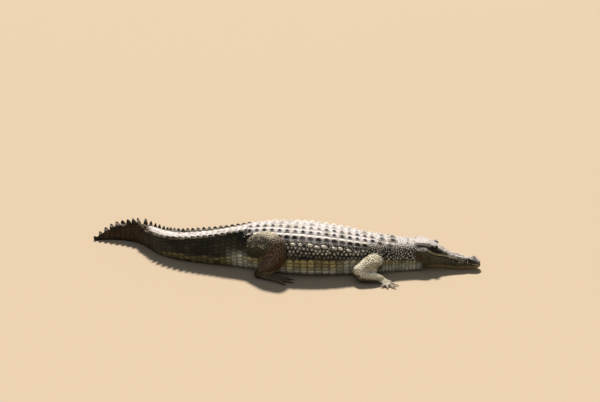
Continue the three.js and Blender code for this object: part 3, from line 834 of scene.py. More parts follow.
def hideAt(points, places):
    # the markings, with some painted light and shade among them, which the skin and every scale share
    count = places["count"]
    back, across, height = places["back"], np.abs(places["across"]), points[:, 2]
    broad, middling, fine = mottle(points, 0.09, 1), mottle(points, 0.034, 2), mottle(points, 0.013, 3)
    tailward = ramp(back, 1.12, 1.35)
    top = blend(plain("backPale", count), paint["backGrey"], ramp(middling, 0.5, 0.85) * 0.8)
    flank = blend(plain("flank", count), paint["flankPatch"], ramp(broad, 0.4, 0.7))
    tail = layered(
        plain("tailSide", count),
        ("tailBand", ramp(broad * 0.6 + middling * 0.4, 0.42, 0.62)),
        ("rust", ramp(back, 1.9, 2.15) * 0.5),
    )
    side = blend(flank, tail, tailward)
    low = layered(
        plain("bellySide", count),
        ("tailLow", tailward),
        ("flankPatch", ramp(middling, 0.56, 0.70) * (0.35 + 0.4 * tailward)),
        # low on the belly: its own grey, brightened as painted bounce light from the floor
        ("bellyGreyAndBounceLight", ramp(-height, -0.100, -0.04) * 0.95 * (1 - tailward)),
    )
    low = blend(low, side, ramp(back, 1.72, 1.95))
    body = blend(top, side, ramp(across - dorsalEdge(back) + (fine - 0.5) * 0.024, -0.006, 0.012))
    body = blend(body, low, ramp(lowEdge(back) - height + (fine - 0.5) * 0.016, -0.006, 0.006))
    folds = hump(back, 1.235, 0.060) * ramp(-height, -0.17, -0.11)
    folds += hump(back, 0.47, 0.06) * ramp(-height, -0.16, -0.10)
    body = layered(
        body,
        ("bellyGreyAndBounceLight", folds * (0.35 + 0.8 * fine) * ramp(across, 0.10, 0.16)),
        ("bellyPale", ramp(-height, -0.022, -0.003) * (1 - tailward)),
    )
    colour = blend(body, headColours(points, places, body), ramp(places["ahead"], -0.016, 0.02))
    # limbs: the front leg pale with painted shade underneath, the thigh dark with a pale net and a painted
    # highlight on its top edge, the shank rusty, the feet pale, the hind ones darkened by painted shade
    down, topward = places["down"], places["topward"]
    arm = layered(
        plain("armPale", count),
        ("armGreen", ramp(middling, 0.5, 0.75) * 0.7),
        # painted shade on the underside of the front leg
        ("flank", ramp(-topward, -0.30, 0.20) * 0.94 * ramp(-down, -2.2, -1.7)),
    )
    net = ramp(fine * 0.6 + middling * 0.4, 0.50, 0.62) * ramp(topward, -0.2, 0.4) * ramp(-down, -1.0, -0.6)
    rusty = ramp(down, 0.66, 0.95) * (1 - ramp(down, 1.75, 2.1))
    hind = layered(
        plain("thigh", count),
        ("flank", ramp(middling, 0.4, 0.7) * 0.75),
        # a pale net of scales painted only on the upper side, and a painted highlight along the thigh's top
        # edge
        ("thighPale", net * 0.5),
        ("thighPale", ramp(topward, 0.78, 0.97) * ramp(height, 0.20, 0.25)),
        ("rust", rusty * (0.75 + 0.25 * middling)),
    )
    isFront = (places["leg"] < 2)[:, None]
    limb = np.where(isFront, arm, hind)
    footPale = plain("footPale", count)
    frontFoot = blend(footPale, paint["tip"], np.full(count, 0.6))
    # the hind feet are darkened with the rust colour: painted shade, where the body shades them
    foot = np.where(isFront, frontFoot, blend(footPale, paint["rust"], np.full(count, 0.5)))
    limb = limb + (foot - limb) * (ramp(down, 1.95, 2.6) * (0.55 + 0.45 * topward))[:, None]
    limbShare = np.where(places["onHead"], 0, ramp(places["proud"], 0.004, 0.012))
    return blend(colour, limb, limbShare)


def headColours(points, places, body):
    # pale above, dark olive at the side, with a pale jaw edge; painted highlights on the upper lip and the
    # ledge behind the eye, and painted shade round the eyes, in the ears, the gape, the nostrils and the
    # snout's notch
    count, ahead = places["count"], places["ahead"]
    out, height = np.abs(places["left"]), points[:, 2]
    middling, fine = mottle(points, 0.034, 2), mottle(points, 0.012, 4)
    fromLip = fromMouth(ahead, height)
    snoutward = ramp(ahead, 0.12, 0.18)
    top = crown(ahead)
    upness = ramp(height, top - 0.030 + 0.014 * snoutward, top - 0.010 + 0.006 * snoutward)
    # painted highlight: a pale ledge over the jaw muscle behind the eye
    ledge = hump(height, 0.172, 0.012) * ramp(-ahead, -0.092, -0.07) * ramp(out, 0.07, 0.085)
    head = layered(
        plain("headSide", count),
        ("headDark", ramp(middling, 0.4, 0.7) * 0.8),
        ("headTop", upness),
        ("backGrey", ramp(middling, 0.62, 0.85) * 0.5 * upness),
        ("headDark", ramp(fine, 0.57, 0.70) * ramp(ahead, 0.15, 0.20) * 0.62),
        ("headTop", np.clip(ledge, 0, 1) * 0.9),
        # painted highlight along the swollen upper lip
        ("lipPale", hump(fromLip, 0.007, 0.005) * ramp(ahead, 0.08, 0.10) * (1 - ramp(ahead, 0.24, 0.29))),
        ("jawBrown", ramp(ahead, 0.24, 0.30) * ramp(-fromLip, -0.020, -0.006) * 0.55),
    )
    aboveEdge = height - jawBottom(ahead)
    jaw = layered(
        plain("jaw", count),
        ("headDark", ramp(fine * 0.4 + middling * 0.6, 0.5, 0.7) * 0.6),
        ("jawBrown", hump(ahead, 0.04, 0.055) * hump(height, 0.115, 0.03) * 0.8),
        ("jawEdge", ramp(-aboveEdge, -0.030, -0.012) * ramp(ahead, 0.05, 0.12)),
    )
    jaw = blend(jaw, body, ramp(-ahead, -0.06, -0.01) * ramp(-height, -0.10, -0.07))
    jaw = blend(jaw, paint["throat"], ramp(-aboveEdge, -0.008, 0.0))
    head = blend(head, jaw, ramp(-fromLip, -0.001, 0.002))
    # painted shade along the line between the jaws, where the gap would lie in shadow
    gape = np.maximum(0, np.abs(fromLip) - gapeAt(ahead) / 2)
    lips = hump(fromLip, 0, 0.0024) * ramp(ahead, 0.08, 0.1) + hump(gape, 0, 0.002) * ramp(ahead, 0.1, 0.2)
    # painted shade in the ear slit under the skull table's edge, and a dark line under the ear flap
    (earBack, _), (earFront, _) = headDetail["ear"]
    span = ramp(ahead, earBack - 0.008, earBack) * (1 - ramp(ahead, earFront, earFront + 0.010))
    fromEar = height - earLineAt(ahead)
    ear = np.clip(hump(fromEar, 0, 0.0048) + hump(fromEar, -0.013, 0.0024), 0, 1)
    head = layered(head, ("mouth", np.clip(lips, 0, 1)), ("mouth", ear * span * ramp(out, 0.045, 0.055)))
    # painted shade round each eye, under the brow
    for side in (-1, 1):
        lids = ramp(-distance(points, eyeCentre(side)), -0.034, -0.020)
        head = blend(head, paint["headDark"], lids * (1 - 0.85 * ramp(height, 0.1835, 0.1875)))
    # painted shade in the notch behind the snout's tip
    notchShade = hump(ahead, 0.382, 0.020) * hump(fromLip, 0.012, 0.014) * ramp(out, 0.012, 0.022)
    # painted shade in the nostril slits
    nostrilAhead, nostrilOut = headDetail["nostril"]
    nostril = np.hypot((ahead - nostrilAhead) / 0.008, (out - nostrilOut) / 0.005)
    nostril = ramp(-nostril, -1.3, -0.6) * ramp(height, 0.07, 0.08)
    return layered(head, ("headDark", notchShade), ("mouth", nostril))


def addNode(tree, kind, settings=None, links=None):
    # one node with its settings, and its inputs linked from other nodes' outputs
    node = tree.nodes.new(kind)
    for name, value in (settings or {}).items():
        if isinstance(name, str) and hasattr(node, name):
            setattr(node, name, value)
        else:
            node.inputs[name].default_value = value
    for name, output in (links or {}).items():
        tree.links.new(output, node.inputs[name])
    return node


def newMaterial(name):
    material = bpy.data.materials.new(name)
    material.use_nodes = True
    material.node_tree.nodes.clear()
    return material, material.node_tree


def mapped(tree, noise, low, high, to):
    # a noise's values between low and high, spread from the first of "to" to the second
    settings = {"From Min": low, "From Max": high, "To Min": to[0], "To Max": to[1]}
    return addNode(tree, "ShaderNodeMapRange", settings, {"Value": noise.outputs["Fac"]}).outputs["Result"]


def addNoise(tree, place, settings):
    return addNode(tree, "ShaderNodeTexNoise", settings, {"Vector": place})


def computed(tree, operation, *values):
    # arithmetic on numbers and other nodes' outputs
    given = dict(enumerate(values))
    numbers = {at: value for at, value in given.items() if isinstance(value, float)}
    outputs = {at: value for at, value in given.items() if at not in numbers}
    return addNode(tree, "ShaderNodeMath", {"operation": operation, **numbers}, outputs).outputs[0]


def mixed(tree, share, links, colours):
    # two colours mixed: sockets 6 and 7 take a link or a colour each
    node = addNode(tree, "ShaderNodeMix", {"data_type": "RGBA"}, {"Factor": share, **links})
    for socket, colour in colours.items():
        node.inputs[socket].default_value = (*hexLinear(colour), 1)
    return node.outputs[2]


def toned(tree, colour, share):
    links = {"Vector": colour, "Scale": share}
    return addNode(tree, "ShaderNodeVectorMath", {"operation": "SCALE"}, links).outputs["Vector"]


def addSurface(tree, settings, links=None):
    shader = addNode(tree, "ShaderNodeBsdfPrincipled", settings, links)
    addNode(tree, "ShaderNodeOutputMaterial", None, {"Surface": shader.outputs["BSDF"]})


def hideMaterial(name, wrinkle, wrinkleDepth, roughness):
    # dry crocodile hide: matt horn over leather, finely wrinkled, with dust in the hollows
    material, tree = newMaterial(name)
    place = addNode(tree, "ShaderNodeTexCoord").outputs["Object"]
    marking = addNode(tree, "ShaderNodeAttribute", {"attribute_name": "hideColour"}).outputs["Color"]
    grain = addNoise(tree, place, {"Scale": 1 / wrinkle, "Detail": 5.0, "Roughness": 0.62})
    spots = addNoise(tree, place, {"Scale": 1 / (9 * mm), "Detail": 3.0})
    dust = mapped(tree, spots, 0.3, 0.72, (0.62, 1.28))
    tones = computed(tree, "MULTIPLY", dust, mapped(tree, grain, 0.3, 0.7, (0.8, 1.14)))
    dull = mapped(tree, grain, 0.3, 0.7, (roughness - 0.08, roughness + 0.12))
    settings = {"Strength": 0.55, "Distance": wrinkleDepth}
    bump = addNode(tree, "ShaderNodeBump", settings, {"Height": grain.outputs["Fac"]})
    addSurface(tree, {"Specular IOR Level": 0.35, "IOR": 1.45}, {
        "Base Color": toned(tree, marking, tones), "Roughness": dull, "Normal": bump.outputs["Normal"],
    })
    return material


def setColours(mesh, colours):
    layer = mesh.color_attributes.new("hideColour", "FLOAT_COLOR", "POINT")
    rgba = np.ones((len(mesh.vertices), 4), np.float32)
    rgba[:, :3] = colours
    layer.data.foreach_set("color", rgba.ravel())


points = readPoints(skin.data)
skinPlaces = placesOf(points)
ridgeward = ramp(dorsalEdge(skinPlaces["back"]) - np.abs(skinPlaces["across"]), 0, 0.03)
ridgeward = ridgeward * (skinPlaces["back"] < 2.03)
ridgeward = np.where(skinPlaces["onHead"] | (skinPlaces["proud"] > 0.01), 0, ridgeward)
armward = skinPlaces["onLimb"] & (skinPlaces["leg"] < 2)
# painted shade: the skin between the scales is darker than they are, least so on the sunlit back and the pale
# front legs
setColours(skin.data, hideAt(points, skinPlaces) * (0.46 + 0.40 * ridgeward + 0.24 * armward)[:, None])
skin.data.materials.append(hideMaterial("soft leather hide between scales", 2.2 * mm, 0.5 * mm, 0.66))
fleshNodes = [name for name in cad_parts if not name.startswith(("eye_", "claw_"))]
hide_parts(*fleshNodes)
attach(skin, "root")
print("skin coloured")


# The coat. Every scale has a root on the skin, a size, a height and the lie of the body there.
# Scutes and crest spines have their own shapes; all other scales are cells that fit their neighbours.

# Places on the unwrap: scale, left and middle for body and head; for the legs pitch, left, scale and top
unwrapForm = {
    "body": (0.37, 0.02, 0.245), "head": (0.80, 0.02, 0.745), "leg": (0.13, 0.45, 0.12, 0.50),
    "legWidth": 0.12, "toeWidth": 0.024, "toePitch": 0.0245, "margin": 0.004,
}
patch = 0.003  # how large a scale is on the unwrap


def unwrapOf(places, points):
    # an unwrap of the skin's own shape: the body along its spine, the head, and the four legs side by side
    scale, left, middle = unwrapForm["body"]
    u = left + (places["back"] + 0.06) * scale
    v = middle + places["across"] * scale
    headScale, headEdge, headMiddle = unwrapForm["head"]
    around = np.arctan2(places["left"], places["height"] - 0.09) * 0.09
    onHead = places["onHead"]
    u = np.where(onHead, headEdge + places["ahead"] * headScale, u)
    v = np.where(onHead, headMiddle + around * headScale, v)
    legPitch, legLeft, downScale, legTop = unwrapForm["leg"]
    limb = limbSamples[places["limbIndex"]]
    offset = points - limb[:, :3]
    level = unit(np.cross(upwards, limb[:, 3:6]))
    turn = np.arctan2((offset * level).sum(-1), offset[:, 2])
    onToe = places["down"] >= 3
    width = np.where(onToe, unwrapForm["toeWidth"], unwrapForm["legWidth"])
    legU = legLeft + places["leg"] * legPitch + (turn / math.pi * 0.45 + 0.5) * width
    legU += np.where(onToe, np.maximum(places["toe"], 0) * unwrapForm["toePitch"], 0)
    u = np.where(places["onLimb"], legU, u)
    v = np.where(places["onLimb"], legTop + places["down"] * downScale, v)
    return np.clip(np.stack([u, v], -1), unwrapForm["margin"], 1 - unwrapForm["margin"])


def joinedMesh(name, points, faces, colours, bakeSpots, material, slotName="hide"):
    # points (n, 3); faces a list of index arrays of 3 or 4 columns; bakeSpots a place on the unwrap per point
    mesh = bpy.data.meshes.new(name)
    corners = np.concatenate([face.ravel() for face in faces]).astype(np.int32)
    counts = np.concatenate([np.full(len(face), face.shape[1]) for face in faces])
    mesh.vertices.add(len(points))
    mesh.vertices.foreach_set("co", np.asarray(points, np.float32).ravel())
    mesh.loops.add(len(corners))
    mesh.loops.foreach_set("vertex_index", corners)
    mesh.polygons.add(len(counts))
    mesh.polygons.foreach_set("loop_start", np.concatenate([[0], np.cumsum(counts)[:-1]]).astype(np.int32))
    mesh.update(calc_edges=True)
    mesh.validate()
    shadeSmooth(mesh)
    setColours(mesh, colours)
    bake = mesh.uv_layers.new(name="OFBake")
    bake.data.foreach_set("uv", np.asarray(bakeSpots, np.float32)[corners].ravel())
    mesh.materials.append(material)
    piece = linked(name, mesh)
    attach(piece, "root")
    print(f"{name}: {int((counts - 2).sum())} triangles")


def readTemplate(bm):
    # the points, and the faces with four corners and with three
    bm.verts.index_update()
    spots = np.array([vert.co for vert in bm.verts])
    faces = [[vert.index for vert in face.verts] for face in bm.faces]
    bm.free()
    return spots, [np.array([face for face in faces if len(face) == n], int).reshape(-1, n) for n in (4, 3)]


def repeated(faces, count, pointsEach):
    shift = (np.arange(count) * pointsEach)[:, None, None]
    return [(face[None] + shift).reshape(-1, face.shape[1]) for face in faces if len(face)]


# Keeled scutes of the back
scuteForm = {
    "lengthStops": [-1, -0.95, -0.70, -0.35, 0.0, 0.35, 0.66, 0.90, 1],
    "widthStops": [-1, -0.94, -0.62, -0.30, -0.13, 0, 0.13, 0.30, 0.62, 0.94, 1],
    "rows": 17,
    "firstRow": 0.312,
    "pitch": 0.0532,
    "columnPitch": [(0.25, 0.044), (0.45, 0.054), (0.70, 0.059), (0.92, 0.057), (1.10, 0.048), (1.2, 0.042)],
    "thickness": 2.6 * mm,
    "keel": 9.5 * mm,
    "gap": 0.965,
    # kind, and how bold the keel is, by column out from the middle
    "columns": {0.5: (0, 0.85), 1.5: (1, 0.95), 2.5: (2, 1.3), 3.5: (3, 0.5)},
    # shields of the nape, and the row behind the skull: back, across, half length, half width, keel
    "nape": [
        (0.166, 0.031, 0.037, 0.029, 12), (0.243, 0.030, 0.036, 0.028, 12), (0.192, 0.088, 0.031, 0.023, 11),
        (0.262, 0.083, 0.024, 0.019, 8), (0.060, 0.017, 0.014, 0.013, 6), (0.066, 0.049, 0.014, 0.013, 6),
    ],
    # painted shadow of each keel, a dark oval beside it, by kind: centre, half width and length, strength,
    # how far the keel is a ledge
    "shadowOvals": [
        (0.44, 0.38, 0.66, 0.99, 0), (0.40, 0.34, 0.62, 0.99, 0), (0.46, 0.41, 0.86, 0.99, 1),
        (0, 0.1, 0.1, 0, 0), (0.46, 0.34, 0.60, 0.95, 0), (0.40, 0.30, 0.50, 0.15, 0),
    ],
}
whorlPitch = 0.04317
crestPlaces = 1.440 + np.arange(-6, 25) * whorlPitch
crestSpread = along([(1160, 60), (1400, 60), (1700, 54), (1900, 46), (2000, 36), (2080, 20), (2140, 5)])
crestHeight = along([
    (1160, 14), (1300, 25), (1500, 36), (1700, 43), (1900, 46), (2000, 48), (2150, 51), (2300, 42),
    (2400, 30), (2480, 14),
])
crestMeeting = 2.105


def acrossAtOut(back, out):
    # the arc over the back at which its surface is so far out
    arcs = np.linspace(0, 0.25, 120)
    outs = distance(bodySurface(back, arcs)[:, :2], spineAt(back))
    widest = int(np.argmax(outs > outs.max() * 0.985)) + 1
    return float(np.interp(out, outs[:widest], arcs[:widest]))


def scuteTable():
    # back, across, half length, half width, thickness, keel, kind
    table = []
    pitch = scuteForm["pitch"]
    columnBacks, columnPitches = zip(*scuteForm["columnPitch"])
    for row in range(scuteForm["rows"]):
        back = scuteForm["firstRow"] + row * pitch
        width = float(np.interp(back, columnBacks, columnPitches))
        columns = 1.5 if row == 0 else 2.5 if row > 14 or row < 3 else 3.5
        for column in np.arange(0.5, columns + 0.1):
            kind, bold = scuteForm["columns"][column]
            for side in (-1, 1):
                loose = dice.uniform(-1, 1, 3)
                lateral = column > 2.6
                across = side * (column * width + (0.004 if lateral else 0))
                length = pitch / 2 * (0.72 + 0.18 * loose[1] if lateral else scuteForm["gap"])
                half = width / 2 * (0.46 + 0.10 * loose[2] if lateral else scuteForm["gap"])
                across += 0.004 * loose[2] * lateral
                offset = (0.008 if lateral else 0) + loose[0] * (0.008 if lateral else 0.001)
                keel = scuteForm["keel"] * bold * (1 + 0.15 * loose[1])
                table.append((back + offset, across, length, half, scuteForm["thickness"], keel, kind))
    for back, across, length, half, keel in scuteForm["nape"]:
        for side in (-1, 1):
            table.append((back, side * across, length, half, 3.4 * mm, keel * mm, 4 if back > 0.1 else 5))
    # flat scutes between the two rows of the crest
    for back in crestPlaces[crestPlaces < crestMeeting]:
        spread = acrossAtOut(back, float(crestSpread(back)))
        inner = max(spread - 0.007, 0.008)
        columns = 2 if inner > 0.028 else 1
        for column in range(columns):
            half = inner / columns / 2
            keel = (3.6 if back < 1.6 else 2.2) * mm
            for side in (-1, 1):
                middle = side * half * (2 * column + 1)
                table.append((back, middle, whorlPitch / 2 * 0.95, half * 0.95, 1.8 * mm, keel, 5))
    return np.array(table)


scutes = scuteTable()


def buildScutes():
    lengthStops, widthStops = scuteForm["lengthStops"], scuteForm["widthStops"]
    bm = bmesh.new()
    bmesh.ops.create_grid(bm, x_segments=len(lengthStops) - 1, y_segments=len(widthStops) - 1, size=1)
    for vert in bm.verts:
        u = lengthStops[round((vert.co.x + 1) / 2 * (len(lengthStops) - 1))]
        v = widthStops[round((vert.co.y + 1) / 2 * (len(widthStops) - 1))]
        vert.co = (u, v, 0)
    spots, faces = readTemplate(bm)
    u, v = spots[:, 0], spots[:, 1]
    flankMost = scutes[:, 6, None] == 3
    rounding = 1 - np.where(flankMost, 0.30 * (u * v) ** 2, 0.10 * (u * v) ** 4)  # corners drawn in
    edge = np.maximum(np.abs(u), np.abs(v))
    plate = ramp(-edge, -1.0, -0.90) * (1 - 0.35 * np.abs(v) ** 2)
    shadowOvals = np.array(scuteForm["shadowOvals"])[scutes[:, 6].astype(int)]
    outward = v * np.sign(scutes[:, 1, None])
    ledge = ramp(outward, -1.0, 0.02) * ramp(-outward, -0.46, 0.0) * hump(u, 0.10, 0.72) * shadowOvals[:, 4, None]
    keel = np.where(flankMost, hump(v, 0, 0.40) * hump(u, 0.1, 0.7), hump(v, 0, 0.19) * hump(u, 0.16, 0.50))
    ridge = np.maximum(ledge, keel) + 0.10 * ramp(-np.abs(v), -0.8, 0)
    back = scutes[:, 0, None] + u * rounding * scutes[:, 2, None]
    across = scutes[:, 1, None] + v * rounding * scutes[:, 3, None]
    point, normal, _ = bodyFrameAt(back, across)
    lift = -1.6 * mm * (edge > 0.99) + scutes[:, 4, None] * plate + scutes[:, 5, None] * ridge * (edge < 0.99)
    lift = lift + scutes[:, 4, None] * 0.35 * u * (edge < 0.99)  # the rear edge stands a little higher
    points = (point + normal * lift[..., None]).reshape(-1, 3)
    roots = np.repeat(bodySurface(scutes[:, 0], scutes[:, 1]), len(u), axis=0)
    places = placesOf(roots)
    colours = hideAt(roots, places)
    tones = dice.uniform(0.88, 1.10, (len(scutes), 1))
    strength = dice.uniform(0.70, 1.15, (len(scutes), 1)).clip(0, 1) * shadowOvals[:, 3, None]
    fromShadowOval = np.hypot((u - 0.05) / shadowOvals[:, 2, None], (np.abs(v) - shadowOvals[:, 0, None]) / shadowOvals[:, 1, None])
    inner = np.where(scutes[:, 6, None] < 2, 0.6, 0.85 * shadowOvals[:, 4, None])  # the inner oval is fainter
    # painted shadow beside each keel: a dark oval, fainter on the inner side, so the keel's sides read as
    # shaded and its ridge stays pale
    foot = strength * ramp(-fromShadowOval, -1.08, -0.82) * (1 - inner * (outward < 0))
    shade = tones * (1 - foot - 0.10 * (edge > 0.95))  # the keel's sides are dark, its ridge is pale
    # the ledge's ridge takes the pale tip colour where no painted shadow lies: wear, and a painted highlight
    # on its top
    wornAndLitLedge = shadowOvals[:, 4, None] * ramp(ridge, 0.5, 0.9) * (foot < 0.5)
    worn = np.where(flankMost, plate * 0.92, wornAndLitLedge)
    colours = blend(colours * shade.reshape(-1, 1), paint["tip"], worn.reshape(-1))
    spotsOnMap = unwrapOf(places, roots) + np.tile(np.stack([u, v], -1) * patch / 2, (len(scutes), 1))
    outwards = [face[:, ::-1] for face in faces]
    return points, repeated(outwards, len(scutes), len(u)), colours, spotsOnMap


hornHide = hideMaterial("horny keratin of keeled scutes", 1.8 * mm, 0.45 * mm, 0.58)
granuleHide = hideMaterial("leathery keratin of small scales", 1.3 * mm, 0.28 * mm, 0.60)
bellyHide = hideMaterial("smooth keratin of belly scales", 3.0 * mm, 0.22 * mm, 0.46)
boneHide = hideMaterial("thin keratin over skull bone", 1.5 * mm, 0.35 * mm, 0.52)
joinedMesh("scutes_back", *buildScutes(), hornHide)


# The tail's crest: flat spines, double as far as crestMeeting and single behind it
crestForm = {
    # a spine's rings: height, half length and half thickness, as shares of its own
    "levels": [
        (-0.34, 1.10, 1.35), (0, 1.08, 1.20), (0.22, 1.02, 1.02), (0.45, 0.90, 0.82), (0.66, 0.70, 0.62),
        (0.83, 0.47, 0.44), (0.94, 0.25, 0.28), (1.0, 0.08, 0.12),
    ],
    "ringSides": 12,
    "lean": 0.50,
    "sink": 0.002,
    "end": 2.498,
    "doubleThick": 0.0058,
    "singleThick": 0.0048,
}


def buildCrest():
    bm = bmesh.new()
    roots, rims = [], []
    cosines, sines = circle(crestForm["ringSides"])
    for back in crestPlaces:
        sides = (-1, 1) if back < crestMeeting else (0,)
        for side in sides:
            tall = float(crestHeight(back)) * dice.uniform(0.93, 1.05)
            length = whorlPitch * 0.53 * min(1, 0.5 + (crestForm["end"] - back) / 0.4)
            thick = crestForm["doubleThick" if side else "singleThick"] * min(1, 0.35 + tall / 0.03)
            out = float(crestSpread(back)) * side
            point = bodySurface(back, acrossAtOut(back, abs(out)) * (side or 1) if out else 0.0)
            ahead = np.append(aheadAt(back), 0)
            left = leftOf(ahead)
            up = unit(upwards + left * side * (0.40 + 0.42 * float(ramp(-back, -2.02, -1.85))))
            rings = []
            for rise, reach, girth in crestForm["levels"]:
                lean = crestForm["lean"] * length * max(rise, 0) ** 1.5
                centre = point + up * rise * tall - ahead * lean - up * crestForm["sink"]
                rings.append(centre + cosines * ahead * length * reach + sines * left * thick * girth)
            offset = loftedPoints(bm, rings) - point
            roots += [point] * len(offset)
            # how near each point is to the upper rim, which is painted pale
            rise = (offset @ up) / tall
            reach = np.abs(offset @ ahead + crestForm["lean"] * length * np.maximum(rise, 0) ** 1.5) / length
            rim = ramp(np.maximum(reach / (1.12 - 0.75 * rise ** 2), rise * 1.04), 0.80, 0.98)
            rims += list(rim * ramp(rise, 0.30, 0.62) * (0.95 if back > crestMeeting else 0.50))
    closeEnds(bm)
    bmesh.ops.triangulate(bm, faces=[face for face in bm.faces if len(face.verts) > 4])
    points = np.array([vert.co for vert in bm.verts])
    roots = np.array(roots)
    _, faces = readTemplate(bm)
    places = placesOf(roots)
    bands = ramp(mottle(points, 0.03, 5), 0.4, 0.7)
    colours = blend(plain("tailSide", len(points)), paint["tailBand"], bands)
    colours = blend(colours, paint["tip"], np.array(rims) * 0.85)
    spotsOnMap = unwrapOf(places, roots) + (points - roots)[:, [0, 2]] / 0.05 * patch / 2
    return points, [face for face in faces if len(face)], colours, spotsOnMap


joinedMesh("tail_crest", *buildCrest(), hornHide)

# Small scales: seeds first, in rows where the animal has rows, and by chance between them
rowForm = {
    "bellyPitch": 0.0470, "bellyHeight": 0.0265, "flankPitch": 0.0266, "flankHeight": 0.0225,
    "tailHeight": 0.027, "jitter": 0.0022,
    # the rows of the flank from the top down: how bold the scales are, and how pale their tips
    "flankRows": [(1.2, 1.0), (1.1, 0.8), (1, 0.28), (1, 0.08), (1, 0.04), (1, 0.02), (1, 0.0)],
}
# Rows beside the mouth: distance over or under the lip's edge, and where along the head each starts
lipRows = ((0.0052, 0.10), (-0.0058, 0.10), (0.0145, 0.125), (-0.0155, 0.12))
lipPitch, toePitch = 0.0098, 0.0078
sideStart = 0.13  # wider than the head
# Size of the small scales by place down the limb
limbGrain = ([0, 0.9, 1.8, 2.3, 3.0, 4.0], np.array([17.0, 15.0, 11.0, 7.6, 5.6, 4.6]) * mm)


def grainSize(points, places):
    # how far apart the small scales stand, smallest on the face and feet
    ahead, down = places["ahead"], places["down"]
    fromLip = fromMouth(ahead, places["height"])
    aboveFlank = ramp(dorsalEdge(places["back"]) + 0.03 - np.abs(places["across"]), -0.03, 0.01)
    size = 9.5 * mm + 2.5 * mm * aboveFlank
    size = size + 6.5 * mm * ramp(-places["back"], -0.40, -0.30) * (1 - aboveFlank)
    head = 7.6 * mm + 2.2 * mm * ramp(-ahead, -0.11, -0.06) - 1.2 * mm * ramp(ahead, 0.30, 0.40)
    head = head - 1.4 * mm * hump(fromLip, 0, 0.014) * ramp(ahead, 0.08, 0.1)
    for side in (-1, 1):
        fromEye, fromNostril = distance(points, eyeCentre(side)), distance(points, nostrilCentre(side))
        head = np.minimum(head, 2.7 * mm + 4.6 * mm * ramp(fromEye, 0.017, 0.036))
        head = np.minimum(head, 3.2 * mm + 4.0 * mm * ramp(fromNostril, 0.008, 0.022))
    size = np.where(places["onHead"], head, size)
    limb = np.interp(down, *limbGrain)
    limb = limb * np.where((places["leg"] < 2) & (down < 2.2), 0.80, 1.0)  # finer on the front legs
    return np.where(places["onLimb"], limb, size)


def insideScute(places, margin=0.0012):
    inside = np.zeros(places["count"], bool)
    near = ~places["onLimb"] & (np.abs(places["across"]) < 0.26)
    back, across = places["back"][near], places["across"][near]
    found = np.zeros(len(back), bool)
    for row in scutes:
        found |= (np.abs(back - row[0]) < row[2] + margin) & (np.abs(across - row[1]) < row[3] + margin)
    inside[near] = found
    return inside


def bellyMiddle(back):
    # the arc from the top of the back to the middle of the belly
    turns = turnOfAcross[int((back - stations[0]) / stationStep)]
    return float(np.interp(math.pi - 1e-3, turns, np.arange(acrossSteps) * acrossStep))


def latticeSeeds():
    # flank, belly and tail rows, as back, across, size, height, keel, kind and how pale the tips are
    seeds = []
    jitter = rowForm["jitter"]
    for back in np.arange(0.355, 1.175, rowForm["flankPitch"]):
        edge = float(np.interp(back, flankRowBacks, flankRowArcs)) + 0.026
        lowest = float(lowEdge(back)) + 0.012
        for row, (bold, pale) in enumerate(rowForm["flankRows"]):
            across = edge + row * rowForm["flankHeight"]
            shift = rowForm["flankPitch"] / 2 * (row % 2)
            for side in (-1, 1):
                spot = bodySurface(back + shift, across)
                if spot[2] > lowest:
                    loose = dice.normal(0, jitter, 2)
                    place = (back + shift + loose[0], side * across + loose[1])
                    seeds.append((*place, 0.0098 * bold, 3.2 * bold, 1.8, 0, pale))
    pitch = rowForm["bellyPitch"]
    throat, belly = np.arange(-0.02, 0.30, pitch / 2), np.arange(-0.02 + 7 * pitch, 1.16, pitch)
    for back in np.concatenate([throat, belly]):
        share = 0.54 if back in throat else 1  # under the neck the scales are about half as large
        arcs = np.linspace(0, 0.716, 360)
        heights = bodySurface(np.full(360, back), arcs)[:, 2]
        first = arcs[np.argmax(heights < float(lowEdge(back)))] + rowForm["bellyHeight"] * share * 0.45
        for across in np.arange(first, bellyMiddle(back), rowForm["bellyHeight"] * share):
            for side in (-1, 1):
                loose = dice.normal(0, jitter * 0.35, 2)
                seeds.append((back + loose[0], side * across + loose[1], 0.020 * share, 2.2 * share, 0, 1, 0))
    for back in crestPlaces:
        if back > 2.42:
            continue
        spread = acrossAtOut(back, float(crestSpread(back)) if back < crestMeeting else 0.004)
        height = rowForm["tailHeight"] * float(np.interp(back, [1.2, 2.0, 2.45], [1.0, 0.85, 0.6]))
        for across in np.arange(spread + height * 0.72, bellyMiddle(back), height):
            for side in (-1, 1):
                loose = dice.normal(0, jitter * 0.3, 2)
                seeds.append((back + loose[0], side * across + loose[1], 0.019, 2.2, 0.6, 2, 0))
    return np.array(seeds)


def skinFromSide(ahead, side, height):
    # where the head's skin is met from one side, if it is
    outside = headPoint(ahead, side * sideStart, height)
    return skinTree.ray_cast(Vector(outside), Vector(-headLeft * side))[0]


def lipSeeds():
    found = []
    for side in (-1, 1):
        for offset, start in lipRows:
            for ahead in np.arange(start, 0.448, lipPitch):
                lip = float(lipHeight(ahead)) + (offset if offset > 0 else offset - float(gapeAt(ahead)))
                found.append(skinFromSide(ahead + (lipPitch / 2 if abs(offset) > 0.01 else 0), side, lip))
    return np.array([spot for spot in found if spot is not None])


def toeSeeds():
    spots = []
    for leg, side in legs.values():
        for toe in range(len(leg["toes"])):
            line = roundThrough(legPath(leg, side, toePoints(leg, toe)), 12)
            steps = lengthsAlong(line)
            for reach in np.arange(0.012, steps[-1] + 0.004, toePitch):
                x, y = (float(np.interp(reach, steps, line[:, axis])) for axis in (0, 1))
                spots.append(skinTree.ray_cast(Vector((x, y, 0.08)), Vector((0, 0, -1)))[0])
    return np.array([spot for spot in spots if spot is not None])


def onSkin(points):
    # the nearest places of the skin, and its normals there
    hits = [skinTree.find_nearest(Vector(point)) for point in points]
    return np.array([hit[0] for hit in hits]), np.array([hit[1] for hit in hits])


